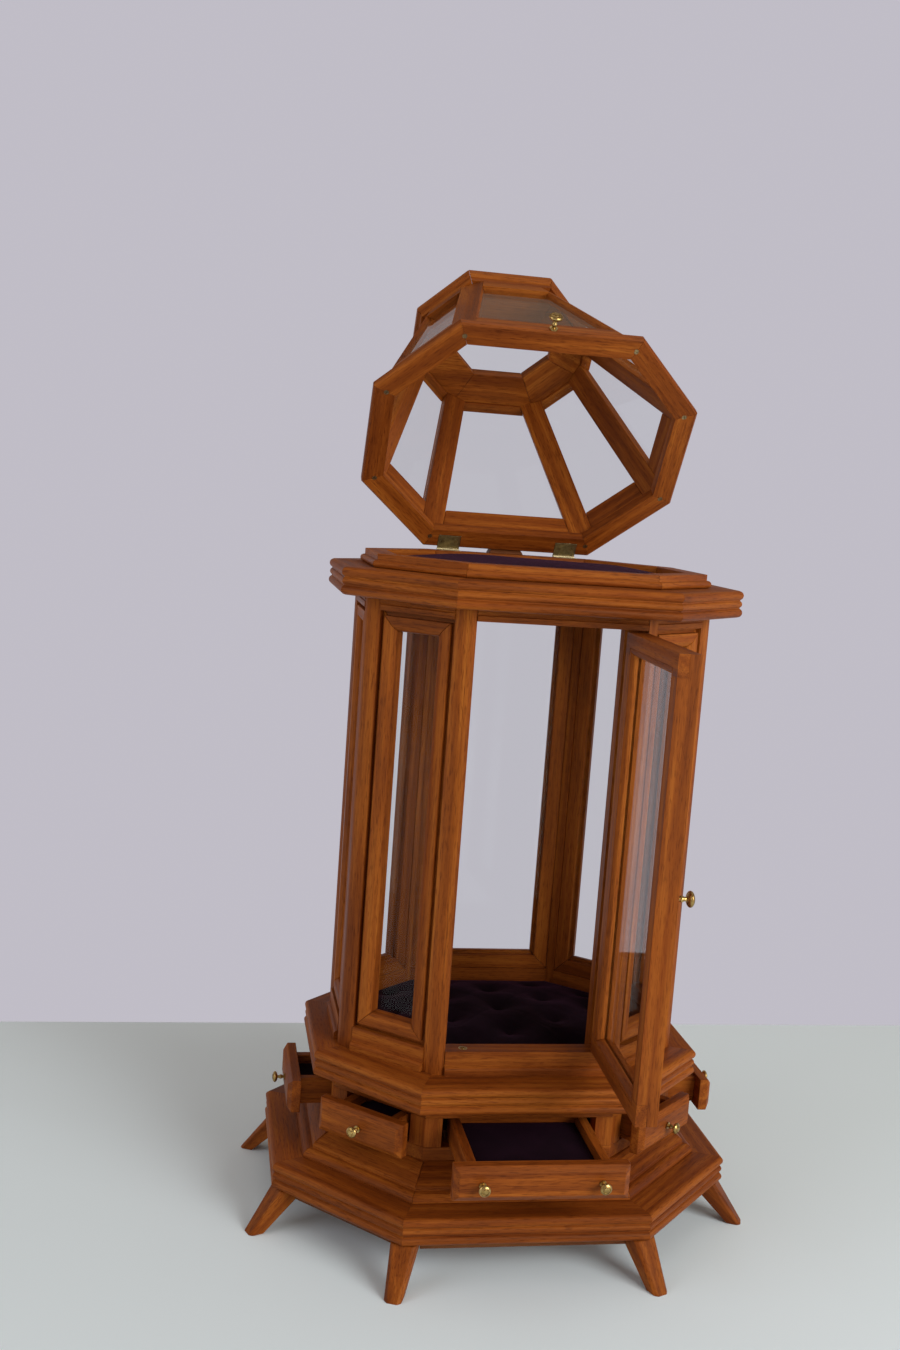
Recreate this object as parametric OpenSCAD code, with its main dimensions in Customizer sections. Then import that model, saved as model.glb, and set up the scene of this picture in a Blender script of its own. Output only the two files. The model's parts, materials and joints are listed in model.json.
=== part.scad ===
// Octagonal display cabinet: splayed feet, a drawer case with a drawer on
// every side, a glazed body with a front door, and a hinged glazed lid.
// Origin: on the table, under the middle of the cabinet. +Z up, -Y is the front.

/* [Plates] */
// Width of the top plate, left to right
plate_w = 360; // [340:1:380]
// Depth of the top plate, front to back
plate_d = 294; // [280:1:310]
// Length of the top plate's front edge
plate_front = 190; // [184:1:196]
// Length of the top plate's side edge
plate_side = 124; // [118:1:130]
// Thickness of the three moulded plates
plate_t = 24; // [22:0.5:28]
// How far the bottom plate reaches past the top plate
bottom_overhang = 30; // [24:1:36]
// How far the middle plate stays inside the top plate
mid_inset = 2; // [0:0.5:6]
// Radius of the big beads on a plate edge
edge_bead_r = 4.1; // [3.8:0.1:4.6]
// Depth of the grooves between the beads of a plate edge
edge_groove = 2.5; // [1.5:0.1:3]

/* [Feet] */
// Clear height under the bottom plate
foot_h = 37; // [28:1:50]
// Width of a foot at the top
foot_top_w = 23; // [18:1:28]
// Width of a foot on the table
foot_end_w = 15; // [10:1:18]
// Thickness of a foot at the top, outwards
foot_top_t = 24; // [18:1:28]
// Thickness of a foot on the table, outwards
foot_end_t = 13; // [9:1:18]
// How far the foot's outer face starts inside the plate corner
foot_set_in = 5; // [2:0.5:12]
// How far the foot splays outwards over its height
foot_splay = 27; // [10:1:32]
// Chamfer along the foot's edges
foot_chamfer = 3; // [1:0.5:4]
// Height of the frame under the bottom plate
under_frame_h = 8; // [5:0.5:14]
// Width of the frame under the bottom plate
under_frame_w = 22; // [12:1:30]
// How far the frame under the bottom plate is set in
under_frame_inset = 12; // [8:0.5:20]

/* [Plinth] */
// Height of the plinth moulding
plinth_h = 22.5; // [18:0.5:28]
// How far the plinth's lip lies outside the top plate
plinth_lip = 3; // [0:0.5:8]
// Height of the plinth's rounded lip
lip_h = 7; // [5:0.5:9]
// How far the plinth's slope starts behind its lip
lip_step = 9; // [6:0.5:12]
// Height of the small upright above the lip
lip_upright = 3; // [1:0.5:4]

/* [Drawer case] */
// Width of the drawer case
case_w = 316; // [304:1:322]
// Depth of the drawer case
case_d = 236; // [226:1:242]
// Length of the case's front face
case_front = 168; // [164:1:172]
// Length of the case's side face
case_side = 104; // [100:1:108]
// Thickness of the case floor
case_floor_t = 12; // [8:0.5:16]
// Height of the drawer openings
opening_h = 26.5; // [24:0.5:32]
// Height of the rails above the drawers
case_rail_h = 14; // [10:0.5:18]
// Depth of the rails above the drawers
case_rail_t = 20; // [14:1:24]
// Width of a corner post on each face of the case
case_post_face = 15.5; // [14:0.5:18]
// Depth of a corner post of the case
case_post_t = 16; // [12:0.5:20]

/* [Drawers] */
// How far the front of a wide drawer stays inside its side of the case
wide_front_margin = 10; // [9:0.5:14]
// How far the front of a small drawer stays inside the shortest side of the case
small_front_margin = 5.6; // [4.6:0.1:10]
// Height of a drawer front
drawer_front_h = 30; // [28:0.5:34]
// Thickness of a drawer front
drawer_front_t = 12; // [9:0.5:14]
// Bevel width round a drawer front
front_bevel_w = 5; // [2:0.5:7]
// Bevel depth round a drawer front
front_bevel_t = 4; // [2:0.5:6]
// How far the box of a wide drawer stays inside its side of the case
wide_box_margin = 23; // [20:0.5:28]
// How far the box of a small drawer stays inside the shortest side of the case
small_box_margin = 19.6; // [19:0.2:24]
// How far the wide drawers' boxes end before the middle of the case
wide_box_gap = 18; // [14:1:38]
// Gap between the side drawers' boxes and the wide drawers' boxes
side_box_gap = 13; // [11:1:36]
// Gap between the corner drawers' boxes and their neighbours' boxes
corner_box_gap = 6.9; // [6:0.1:16]
// Height of a drawer box
box_h = 24; // [18:0.5:25]
// Thickness of a drawer box's walls
box_wall = 8; // [5:0.5:9]
// Thickness of a drawer's bottom
box_bottom_t = 4; // [3:0.5:6]
// Thickness of the velvet pad in a drawer
drawer_pad_t = 14; // [6:0.5:16]
// Cut off the rear corners of a corner drawer
corner_cut = 16; // [10:1:20]
// Height of the strips that guide the drawer boxes
guide_h = 8; // [4:0.5:12]
// Width of the strips that guide the drawer boxes
guide_w = 3; // [2:0.5:3.5]
// How far the front drawer is pulled out
front_pull = 79; // [0:1:85]
// How far the front left corner drawer is pulled out
front_left_pull = 18; // [0:1:38]
// How far the front right corner drawer is pulled out
front_right_pull = 16; // [0:1:38]
// How far the left drawer is pulled out
left_pull = 28; // [0:1:70]
// How far the right drawer is pulled out
right_pull = 34; // [0:1:70]
// How far the back left corner drawer is pulled out
back_left_pull = 12; // [0:1:38]

/* [Body] */
// Width of the glazed body
body_w = 312; // [304:1:318]
// Depth of the glazed body
body_d = 230; // [224:1:236]
// Length of the body's front face
body_front = 155; // [151:1:159]
// Length of the body's side face
body_side = 100; // [96:1:104]
// Height of the body between the middle and top plates
body_h = 406; // [340:1:460]
// Width of a corner post on the side and corner faces
post_face = 14; // [11:0.5:15]
// How much the corner posts swell at the middle of a face
post_crown = 1.2; // [0.4:0.1:2]
// Depth of the corner posts and rails
post_t = 18; // [16:0.5:20]
// Width of the corner posts on the front and back faces
jamb_w = 7; // [5:0.5:9]
// Width of the hinge post behind the door
hinge_post_w = 15; // [12:0.5:18]
// Depth of the hinge post behind the door
hinge_post_t = 12; // [9:0.5:14]
// Height of the bottom rails and the door sill
rail_h = 21; // [16:0.5:24]
// Height of the top rails
head_h = 11.5; // [8:0.5:16]
// How far the foot moulding of a bottom rail stands out
rail_toe = 3; // [1:0.5:4]
// Height of the foot moulding of a bottom rail
rail_toe_h = 8; // [6:0.5:10]

/* [Glazed panels] */
// Width of the reveal between a post and a panel frame
reveal_w = 4; // [2:0.1:5]
// Depth of the reveal between a post and a panel frame
reveal_t = 6; // [3:0.5:8]
// Width of the flat face of a panel frame
frame_face = 8; // [6:0.1:10]
// Width of the chamfer on a panel frame's inner edge
chamfer_w = 4; // [2:0.5:6]
// Depth of the chamfer on a panel frame's inner edge
chamfer_t = 3; // [1:0.5:5]
// How far the edge behind the chamfer leans in, down to the glass
splay_w = 1.5; // [0.5:0.5:3]
// Depth from a panel frame's face to its glass
glass_depth = 11; // [8:0.5:12]
// How far the panel frame's face stays behind the posts
frame_set_in = 1; // [0:0.25:2]
// Depth of the rebate for the glass, along the pane
rebate_w = 4; // [3:0.5:5]
// Thickness of the glass
glass_t = 2; // [1.5:0.1:3]

/* [Door] */
// Thickness of the door
door_t = 18; // [16:0.5:20]
// Width of the door's stiles and rails
door_bar_w = 18; // [16:0.5:24]
// Moulding width on the outside of the door
door_mould_w = 6; // [4:0.5:8]
// Depth of the rebate for the door glass, from inside
door_rebate_t = 9; // [6:0.5:10]
// Width of the rebate for the door glass
door_rebate_w = 6; // [5:0.5:8]
// How far the door stands open
door_open = 88; // [0:1:135]

/* [Lid] */
// How far the raised ring and the lid stay inside the top plate
ring_inset = 27; // [22:0.5:32]
// Height of the raised ring on the top plate
ring_h = 12; // [9:0.5:16]
// Height of the ring's lower bead
ring_bead_h = 6.5; // [4:0.5:7]
// How far the ring's upper part steps in
ring_step = 4; // [3.5:0.5:6]
// Width of the raised ring
ring_w = 22; // [18:0.5:26]
// Thickness of the lid's base ring
lid_ring_t = 11; // [9:0.5:14]
// Width of the lid's base ring
lid_ring_w = 20; // [16:0.5:24]
// Height of the lid from its base to the top frame's underside
lid_rise = 208; // [160:1:240]
// How far the lid's slope starts inside its base ring
lid_slope_inset = 4; // [2:0.5:6]
// How far a lid rib reaches from its corner along each face
rib_w = 12.5; // [8:0.5:15]
// Horizontal thickness of the sloped rails
rib_t = 10; // [8:0.5:12]
// Height of the lower sloped rails
lid_rail_h = 24; // [16:0.5:30]
// Height of the upper sloped rails
lid_head_h = 24; // [16:0.5:30]
// Width of the lid's top, left to right
lid_top_w = 181; // [170:1:186]
// Depth of the lid's top, front to back
lid_top_d = 138; // [130:1:144]
// Length of the front edge of the lid's top
lid_top_front = 87; // [83:1:91]
// Length of the side edge of the lid's top
lid_top_side = 43; // [40:1:46]
// Thickness of the lid's top frame
lid_top_t = 18; // [12:0.5:22]
// Width of the bars of the lid's top frame
lid_top_bar_w = 26; // [20:0.5:30]
// How far the lid's top frame overhangs the ribs
lid_top_overhang = 3; // [2:0.5:6]
// Thickness of the inner frame that carries the lid's top glass
lid_liner_t = 9; // [7:0.5:12]
// How far the inner frame hangs below the top frame
lid_liner_drop = 13; // [6:0.5:16]
// How far the inner frame's opening lies inside the top frame's outline
lid_liner_w = 41; // [38:0.5:44]
// How far the top glass lies on the inner frame
lid_bearing_w = 12; // [6:0.5:13]
// How far the lid's screws stand inside the outline of its base ring
screw_inset = 12; // [6:0.5:15]
// How far the lid is tilted back
lid_open = 57; // [0:1:57]

/* [Fittings] */
// Distance of the lid hinges from the middle
lid_hinge_x = 59; // [40:1:66]
// Length of a lid hinge
lid_hinge_l = 22; // [16:1:26]
// Width of a lid hinge leaf
lid_leaf_w = 14; // [10:0.5:16]
// Length of a door hinge
door_hinge_l = 30; // [24:1:40]
// Width of a door hinge leaf
door_leaf_w = 14; // [10:0.5:15]
// Thickness of a hinge leaf
leaf_t = 1.2; // [0.8:0.1:1.4]
// Radius of a hinge pin
pin_r = 1; // [0.8:0.05:1.2]
// Outer radius of a hinge knuckle
knuckle_r = 2.2; // [2:0.1:2.6]
// Diameter of the door knob's head
door_knob_d = 13; // [11:0.5:16]
// Diameter of the lid knob's head
lid_knob_d = 13; // [10:0.5:14]
// Diameter of a drawer knob's head
drawer_knob_d = 10; // [8:0.5:12]
// Width of the block that stops the open lid
stop_w = 34; // [28:1:44]
// Depth of the block that stops the open lid
stop_l = 17; // [12:0.5:20]
// Radius of the door's ball catch
catch_r = 3; // [2.5:0.1:3.5]

/* [Upholstery] */
// Height of the tufted floor cushion at its crown
cushion_h = 21; // [14:0.5:28]
// Height of the floor cushion's edge
cushion_edge_h = 9; // [6:0.5:12]
// Depth of a sewn tuft
tuft_t = 7; // [3:0.5:8]
// Spread of the dimple round a tuft
tuft_r = 13; // [9:0.5:18]
// Distance between columns of tufts, left to right
tuft_step_x = 49; // [40:1:60]
// Distance between the tufts of a column, front to back
tuft_step_y = 51; // [40:1:60]
// Height of the velvet pad in the ring at its crown
pad_h = 13; // [8:0.5:16]
// Height of the edge of the velvet pad in the ring
pad_edge_h = 6; // [4:0.5:8]

/* [Hidden] */
$fn = 32;

// Clearances and joints
glue_line = 0.15;
seat_gap = 0.2;
sliding_fit = 0.5;
glass_fit = 0.3;
pin_fit = 0.05;
cut_over = 1;
cut_reach = 2 * (foot_h + plate_w + body_h + lid_rise);

// Colours
wood = [0.58, 0.30, 0.12];
dark_wood = [0.36, 0.17, 0.08];
brass = [0.78, 0.62, 0.28];
velvet = [0.16, 0.05, 0.17];
glass = [0.82, 0.88, 0.88, 0.35];

// Octagons, counter-clockwise from the front left corner
function octagon(w, d, front, side) = [
    [-front / 2, -d / 2], [front / 2, -d / 2], [w / 2, -side / 2], [w / 2, side / 2],
    [front / 2, d / 2], [-front / 2, d / 2], [-w / 2, side / 2], [-w / 2, -side / 2]
];
function unit(v) = v / norm(v);
function along(p, i) = unit(p[(i + 1) % 8] - p[i % 8]);
function outward(p, i) = let (d = along(p, i)) [d[1], -d[0]];
function before(i) = (i + 7) % 8;
function side_length(p, i) = norm(p[(i + 1) % 8] - p[i]);
function side_middle(p, i) = (p[i] + p[(i + 1) % 8]) / 2;
function grown(p, o) = [
    for (i = [0:7]) let (n = outward(p, before(i)), m = outward(p, i)) p[i] + o * (n + m) / (1 + n * m)
];
function miter(p, i) = let (n = outward(p, before(i)), m = outward(p, i)) norm(m - n) / norm(m + n);

plate_line = octagon(plate_w, plate_d, plate_front, plate_side);
case_line = octagon(case_w, case_d, case_front, case_side);
body_line = octagon(body_w, body_d, body_front, body_side);
ring_line = grown(plate_line, -ring_inset);

// Levels, from the table up
bottom_z = foot_h;
plinth_z = bottom_z + plate_t;
case_z = plinth_z + plinth_h;
opening_z = case_z + case_floor_t;
case_rail_z = opening_z + opening_h;
middle_z = case_rail_z + case_rail_h;
body_z = middle_z + plate_t;
sill_z = body_z + rail_h;
head_z = body_z + body_h - head_h;
top_z = body_z + body_h;
ring_z = top_z + plate_t;
ring_top_z = ring_z + ring_h;

// Places a child at the middle of side i: X outwards, Y along the side, Z up
module at_side(p, i) {
    n = outward(p, i);
    translate(side_middle(p, i)) rotate([0, 0, atan2(n[1], n[0])]) children();
}

// A bar with the child's section, X outwards and Y up, along side i with mitred ends
module side_bar(p, i, deep, out, gap) {
    half = side_length(p, i) / 2 - gap / 2;
    t0 = miter(p, i);
    t1 = miter(p, (i + 1) % 8);
    at_side(p, i) intersection() {
        rotate([90, 0, 0]) linear_extrude(height = cut_reach, center = true) children();
        translate([0, 0, -cut_reach / 2]) linear_extrude(height = cut_reach) polygon([
            [-deep, deep * t0 - half], [out, -half - out * t0],
            [out, half + out * t1], [-deep, half - deep * t1]
        ]);
    }
}

module side_bars(p, deep, out) {
    for (i = [0:7]) side_bar(p, i, deep, out, glue_line) children();
}

// A solid between two outlines with the same number of points
module loft(low, high) {
    n = len(low);
    polyhedron(points = concat(low, high), faces = concat(
        [[for (k = [0:n - 1]) k]],
        [[for (k = [0:n - 1]) 2 * n - 1 - k]],
        [for (k = [0:n - 1]) [k, k + n, (k + 1) % n + n, (k + 1) % n]]
    ));
}

function lifted(p, z) = [for (v = p) [v[0], v[1], z]];

// Feet: tapered, chamfered and splayed outwards at each corner
function foot_outline(out, w, t, c, z) = [
    [out - t, -w / 2, z], [out - c, -w / 2, z], [out, c - w / 2, z], [out, w / 2 - c, z],
    [out - c, w / 2, z], [out - t, w / 2, z]
];

module feet() color(wood) {
    line = grown(plate_line, bottom_overhang);
    for (i = [0:7]) {
        way = unit(outward(line, before(i)) + outward(line, i));
        translate(line[i]) rotate([0, 0, atan2(way[1], way[0])]) loft(
            foot_outline(foot_splay - foot_set_in, foot_end_w, foot_end_t, foot_chamfer, 0),
            foot_outline(-foot_set_in, foot_top_w, foot_top_t, foot_chamfer, foot_h)
        );
    }
}

module under_frame() color(dark_wood) {
    line = grown(plate_line, bottom_overhang - under_frame_inset);
    inner = foot_top_t + foot_set_in;
    difference() {
        side_bars(line, under_frame_w, 0) translate([-under_frame_w, foot_h - under_frame_h])
            square([under_frame_w, under_frame_h]);
        outer = grown(plate_line, bottom_overhang);
        for (i = [0:7]) {
            way = unit(outward(outer, before(i)) + outward(outer, i));
            translate(outer[i]) rotate([0, 0, atan2(way[1], way[0])])
                translate([-inner - seat_gap, -foot_top_w / 2 - seat_gap, 0])
                cube([inner + foot_splay, foot_top_w + 2 * seat_gap, foot_h + cut_over]);
        }
    }
}

// A plate with three beads round its edge
edge_quirk = 0.2;
edge_small_r = (plate_t - 4 * edge_bead_r) / 2 - 2 * edge_quirk;
module plate_edge() {
    core = 2 * edge_bead_r;
    end = edge_bead_r + edge_quirk;
    translate([-core, 0]) square([core - edge_groove, plate_t]);
    for (y = [end, plate_t - end]) translate([-edge_bead_r, y]) circle(r = edge_bead_r);
    translate([-edge_bead_r, plate_t / 2]) circle(r = edge_small_r);
}

module moulded_plate(p) {
    core = 2 * edge_bead_r;
    linear_extrude(height = plate_t) polygon(grown(p, -core + glue_line));
    side_bars(p, core, cut_over) plate_edge();
}

module bottom_plate() color(wood) translate([0, 0, bottom_z])
    moulded_plate(grown(plate_line, bottom_overhang));

module middle_plate() color(wood) translate([0, 0, middle_z])
    moulded_plate(grown(plate_line, -mid_inset));

module top_plate() color(wood) translate([0, 0, top_z]) moulded_plate(plate_line);

// The plinth: eight mitred boards with a rounded lip and a sloping top.
// Their backs lie inside the case face, which the slope rises to.
module plinth() color(wood) {
    line = grown(plate_line, plinth_lip);
    for (i = [0:7]) {
        rise = (side_middle(line, i) - side_middle(case_line, i)) * outward(line, i);
        back = rise + case_post_t;
        side_bar(line, i, back, cut_over, glue_line) translate([0, plinth_z]) {
            polygon([
                [-back, 0], [-lip_h, 0], [-lip_h, lip_h], [-lip_step, lip_h],
                [-lip_step, lip_h + lip_upright], [-rise, plinth_h], [-back, plinth_h]
            ]);
            intersection() {
                translate([-lip_h, 0]) circle(r = lip_h);
                translate([-lip_h, 0]) square([lip_h, lip_h]);
            }
        }
    }
}

module case_floor() color(wood) translate([0, 0, case_z])
    linear_extrude(height = case_floor_t) polygon(case_line);

// Outline of a corner post: w0 along the side before the corner, w1 along the next
function post_outline(p, i, w0, w1, t) = let (
    d0 = -along(p, before(i)), n0 = -outward(p, before(i)),
    d1 = along(p, i), n1 = -outward(p, i)
) [
    p[i] + d0 * w0, p[i], p[i] + d1 * w1, p[i] + d1 * w1 + n1 * t,
    grown(p, -t)[i], p[i] + d0 * w0 + n0 * t
];

module case_posts() color(wood) translate([0, 0, opening_z]) for (i = [0:7])
    linear_extrude(height = opening_h)
        polygon(post_outline(case_line, i, case_post_face, case_post_face, case_post_t));

module case_top_rails() color(wood) side_bars(case_line, case_rail_t, 0)
    translate([-case_rail_t, case_rail_z]) square([case_rail_t, case_rail_h]);

// Drawers. Each kind is worked out from the side of the case that it slides in.
function is_wide(i) = i % 4 == 0;
function is_corner(i) = i % 2 == 1;
small_side = min(case_side, side_length(case_line, 3));
wide_front_w = case_front - 2 * wide_front_margin;
small_front_w = small_side - 2 * small_front_margin;
wide_box_w = case_front - 2 * wide_box_margin;
small_box_w = small_side - 2 * small_box_margin;
wide_box_l = case_d / 2 - wide_box_gap;
side_box_l = case_w / 2 - wide_box_w / 2 - side_box_gap;

// The corner drawers' boxes end before they meet a side drawer's or a wide drawer's box
corner_middle = side_middle(case_line, 3);
corner_way = outward(case_line, 3);
corner_end_half = small_box_w / 2 - corner_cut;
corner_box_l = min(
    (corner_middle[1] - small_box_w / 2 - corner_box_gap - corner_end_half * corner_way[0]) / corner_way[1],
    (corner_middle[0] - wide_box_w / 2 - corner_box_gap - corner_end_half * corner_way[1]) / corner_way[0]
);

function front_width(i) = is_wide(i) ? wide_front_w : small_front_w;
function box_width(i) = is_wide(i) ? wide_box_w : small_box_w;
function box_length(i) = is_wide(i) ? wide_box_l : is_corner(i) ? corner_box_l : side_box_l;
function box_cut(i) = is_corner(i) ? corner_cut : 0;
pulls = [front_pull, front_right_pull, right_pull, 0, 0, back_left_pull, left_pull, front_left_pull];

front_low = (drawer_front_h - opening_h) / 2 + sliding_fit;
box_z = opening_z + sliding_fit / 2;

module drawer_place(i) at_side(case_line, i) translate([pulls[i] + seat_gap, 0, 0]) children();

// Outline of a drawer box seen from above, inset by o; X is 0 at the front's back
function box_outline(i, o) = let (
    w = box_width(i) / 2 - o, l = box_length(i) - o, c = box_cut(i),
    k = o * tan(22.5)
) c == 0 ? [[-o, -w], [-o, w], [-l, w], [-l, -w]]
    : [[-o, -w], [-o, w], [c - l - k, w], [-l, w - c + k], [-l, c - w - k], [c - l - k, -w]];

module front_board(i) {
    w = front_width(i);
    translate([0, 0, opening_z - front_low]) intersection() {
        linear_extrude(height = drawer_front_h) polygon([
            [0, -w / 2], [drawer_front_t - front_bevel_t, -w / 2],
            [drawer_front_t, front_bevel_w - w / 2], [drawer_front_t, w / 2 - front_bevel_w],
            [drawer_front_t - front_bevel_t, w / 2], [0, w / 2]
        ]);
        rotate([90, 0, 0]) linear_extrude(height = w, center = true) polygon([
            [0, 0], [drawer_front_t - front_bevel_t, 0], [drawer_front_t, front_bevel_w],
            [drawer_front_t, drawer_front_h - front_bevel_w],
            [drawer_front_t - front_bevel_t, drawer_front_h], [0, drawer_front_h]
        ]);
    }
}

// Walls of the box, each one board between neighbouring corners of its outline
module box_walls(i) {
    outer = box_outline(i, 0);
    inner = box_outline(i, box_wall);
    n = len(outer);
    rise = box_bottom_t + glue_line;
    translate([0, 0, box_z + rise]) for (k = [1:n - 1]) {
        a = outer[k];
        b = outer[(k + 1) % n];
        c = k == n - 1 ? [0, inner[0][1]] : inner[(k + 1) % n];
        d = k == 1 ? [0, inner[1][1]] : inner[k];
        d_back = unit(b - a) * glue_line / 2;
        start = k == 1 ? [-glue_line, 0] : d_back;
        finish = k == n - 1 ? [-glue_line, 0] : -d_back;
        linear_extrude(height = box_h - rise) polygon([a + start, b + finish, c + finish, d + start]);
    }
}

module drawer(i) color(wood) drawer_place(i) {
    front_board(i);
    box_walls(i);
    translate([-glue_line, 0, box_z]) linear_extrude(height = box_bottom_t) polygon(box_outline(i, 0));
}

// The velvet pad fills the box from the back of its front
function pad_outline(i) = let (p = box_outline(i, box_wall + glass_fit)) concat(
    [[-glass_fit, p[0][1]], [-glass_fit, p[1][1]]], [for (k = [2:len(p) - 1]) p[k]]
);

module drawer_pad(i) color(velvet) drawer_place(i)
    translate([0, 0, box_z + box_bottom_t + glue_line]) linear_extrude(height = drawer_pad_t)
        polygon(pad_outline(i));

module drawer_guides() color(dark_wood) for (i = [0:7]) at_side(case_line, i) for (s = [-1, 1]) {
    straight = box_length(i) - box_cut(i) - case_post_t;
    middle = s * (box_width(i) + 2 * sliding_fit + guide_w) / 2;
    translate([-case_post_t - straight, middle - guide_w / 2, opening_z])
        cube([straight - glue_line, guide_w, guide_h]);
}

// A turned knob along +X: rose, stem with a ring, and a flattened head.
// Its sizes are shares of the head's diameter.
knob_length_share = 1.15;
knob_head_share = 0.5;
knob_groove_share = 0.26;
knob_groove_r_share = 0.06;
rose_r_share = 0.3;
rose_t_share = 0.1;
stem_r_share = 0.14;
stem_ring_r_share = 0.2;
stem_ring_place_share = 0.36;

module knob(d) {
    l = d * knob_length_share;
    head_t = d * knob_head_share;
    ring_r = d * stem_ring_r_share;
    rotate([0, 90, 0]) rotate_extrude($fn = 40) {
        square([d * rose_r_share, d * rose_t_share]);
        square([d * stem_r_share, l - head_t / 2]);
        difference() {
            intersection() {
                translate([0, l - head_t / 2]) scale([1, knob_head_share]) circle(d = d);
                translate([0, l - head_t]) square([d, head_t]);
            }
            translate([d * knob_groove_share, l - d * knob_groove_r_share]) circle(r = d * knob_groove_r_share);
        }
        translate([0, d * stem_ring_place_share]) intersection() {
            circle(r = ring_r);
            translate([0, -ring_r]) square([ring_r, 2 * ring_r]);
        }
    }
}

// How far the knobs of a wide drawer stand from its middle, of its width
knob_spread_share = 0.34;

module drawer_knob(i) color(brass) drawer_place(i)
    for (y = is_wide(i) ? [-front_width(i) * knob_spread_share, front_width(i) * knob_spread_share] : [0])
        translate([drawer_front_t + glue_line, y, opening_z - front_low + drawer_front_h / 2])
            knob(drawer_knob_d);

// Where the closed door lies. Its hinge axis is just outside the right front arris.
door_gap = 1.6;
door_z = sill_z + door_gap;
door_h = head_z - door_gap - door_z;
door_left = body_line[0][0] + jamb_w + sliding_fit;
door_right = body_line[1][0] - glue_line;
door_w = door_right - door_left;
door_back = -body_d / 2 + door_t + sliding_fit;
door_axis_out = 0.6;
door_axis = [body_line[1][0], -body_d / 2 - door_axis_out];
door_hinge_low_share = 0.12;
door_hinge_z = [
    door_z + door_h * door_hinge_low_share, door_z + door_h * (1 - door_hinge_low_share)
];

// Corner posts of the glazed body. The two beside the door differ.
crown_shares = [0.1, 0.3, 0.5, 0.7, 0.9];
function crowned_face(a, b, n, c) = concat(
    [a - n * c], [for (s = crown_shares) a + (b - a) * s - n * c * pow(2 * s - 1, 2)], [b - n * c]
);
function crowned_post(p, i, w0, w1, t, c) = let (
    n0 = outward(p, before(i)), n1 = outward(p, i),
    a = p[i] - along(p, before(i)) * w0, b = p[i] + along(p, i) * w1,
    arris = p[i] - c * (n0 + n1) / (1 + n0 * n1),
    before_arris = crowned_face(a, p[i], n0, c), after_arris = crowned_face(p[i], b, n1, c)
) concat(
    [for (k = [0:len(before_arris) - 2]) before_arris[k]], [arris],
    [for (k = [1:len(after_arris) - 1]) after_arris[k]],
    [b - n1 * t, grown(p, -t)[i], a - n0 * t]
);

function face_w(i) = i % 4 == 0 ? jamb_w : post_face;

module corner_posts() color(wood) {
    translate([0, 0, body_z]) for (i = [0, 2, 3, 4, 5, 6, 7]) linear_extrude(height = body_h)
        polygon(crowned_post(body_line, i, face_w(before(i)), face_w(i), post_t, post_crown));
    difference() {
        translate([0, 0, body_z]) linear_extrude(height = body_h) polygon(hinge_post_outline());
        for (z = door_hinge_z) translate([door_axis[0], door_axis[1], z]) hinge_pocket(1);
    }
}

// The hinge post stands behind the door's hinge stile, and shows only on its corner face
function hinge_post_outline() = let (
    v = body_line[1], d = along(body_line, 1), a = v + d * post_face,
    b = a - outward(body_line, 1) * post_t,
    side = v[0] + glue_line, low = door_back + seat_gap, deep = low + hinge_post_t
) [
    v + d * glue_line / d[0], a, b, [b[0], deep],
    [v[0] - hinge_post_w, deep], [v[0] - hinge_post_w, low], [side, low]
];

// Room for one leaf and the knuckles of a door hinge: way 1 in the post, -1 in the door
module hinge_pocket(way) {
    t = leaf_t + 2 * glue_line;
    l = door_hinge_l + 2 * glue_line;
    translate([way > 0 ? -cut_over : -t, 0, -l / 2]) cube([t + cut_over, door_leaf_w + 2 * knuckle_r, l]);
    cylinder(h = l, r = knuckle_r + seat_gap, center = true);
}

// Bottom and top rails between the posts
function rail_start(i) = face_w(i);
function rail_end(i) = i == 0 ? seat_gap : face_w(i);

module rail(i) {
    l = side_length(body_line, i) - rail_start(i) - rail_end(i) - 2 * glue_line;
    at_side(body_line, i) translate([0, (rail_start(i) - rail_end(i)) / 2, 0])
        rotate([90, 0, 0]) linear_extrude(height = l, center = true) children();
}

rail_quirk_r = 1;
module body_rails() color(wood) difference() {
    for (i = [0:7]) side_rails(i);
    translate([catch_place[0], catch_place[1], sill_z - barrel_l - seat_gap])
        cylinder(h = barrel_l + cut_over, r = barrel_r + pin_fit);
}

module side_rails(i) {
    rail(i) translate([0, body_z]) {
        translate([-post_t, 0]) square([post_t, rail_h]);
        translate([-post_t, 0]) square([post_t + rail_toe, rail_toe_h - rail_toe]);
        translate([0, rail_toe_h - rail_toe]) intersection() {
            circle(r = rail_toe);
            square(2 * rail_toe, center = true);
        }
    }
    rail(i) translate([-post_t, head_z]) difference() {
        square([post_t, head_h]);
        translate([post_t, head_h / 2]) circle(r = rail_quirk_r);
    }
}

// Mitred panel frames: a flange behind the reveal, a flat face, a splayed
// inner edge, and a rebate at the back for the glass
chamfer_end = reveal_w + frame_face + chamfer_w;
frame_w = chamfer_end + splay_w;
glass_x = -frame_set_in - glass_depth;
frame_back = glass_depth + frame_set_in + 5 * glass_t / 2;
panel_h = head_z - sill_z - 2 * glue_line;
function panel_w(i) = side_length(body_line, i) - 2 * face_w(i) - 2 * glue_line;

module frame_section() {
    polygon([
        [-frame_back, 0], [-reveal_t, 0], [-reveal_t, reveal_w], [-frame_set_in, reveal_w],
        [-frame_set_in, reveal_w + frame_face], [-frame_set_in - chamfer_t, chamfer_end],
        [glass_x, frame_w], [glass_x, frame_w - rebate_w], [-frame_back, frame_w - rebate_w]
    ]);
}

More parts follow.
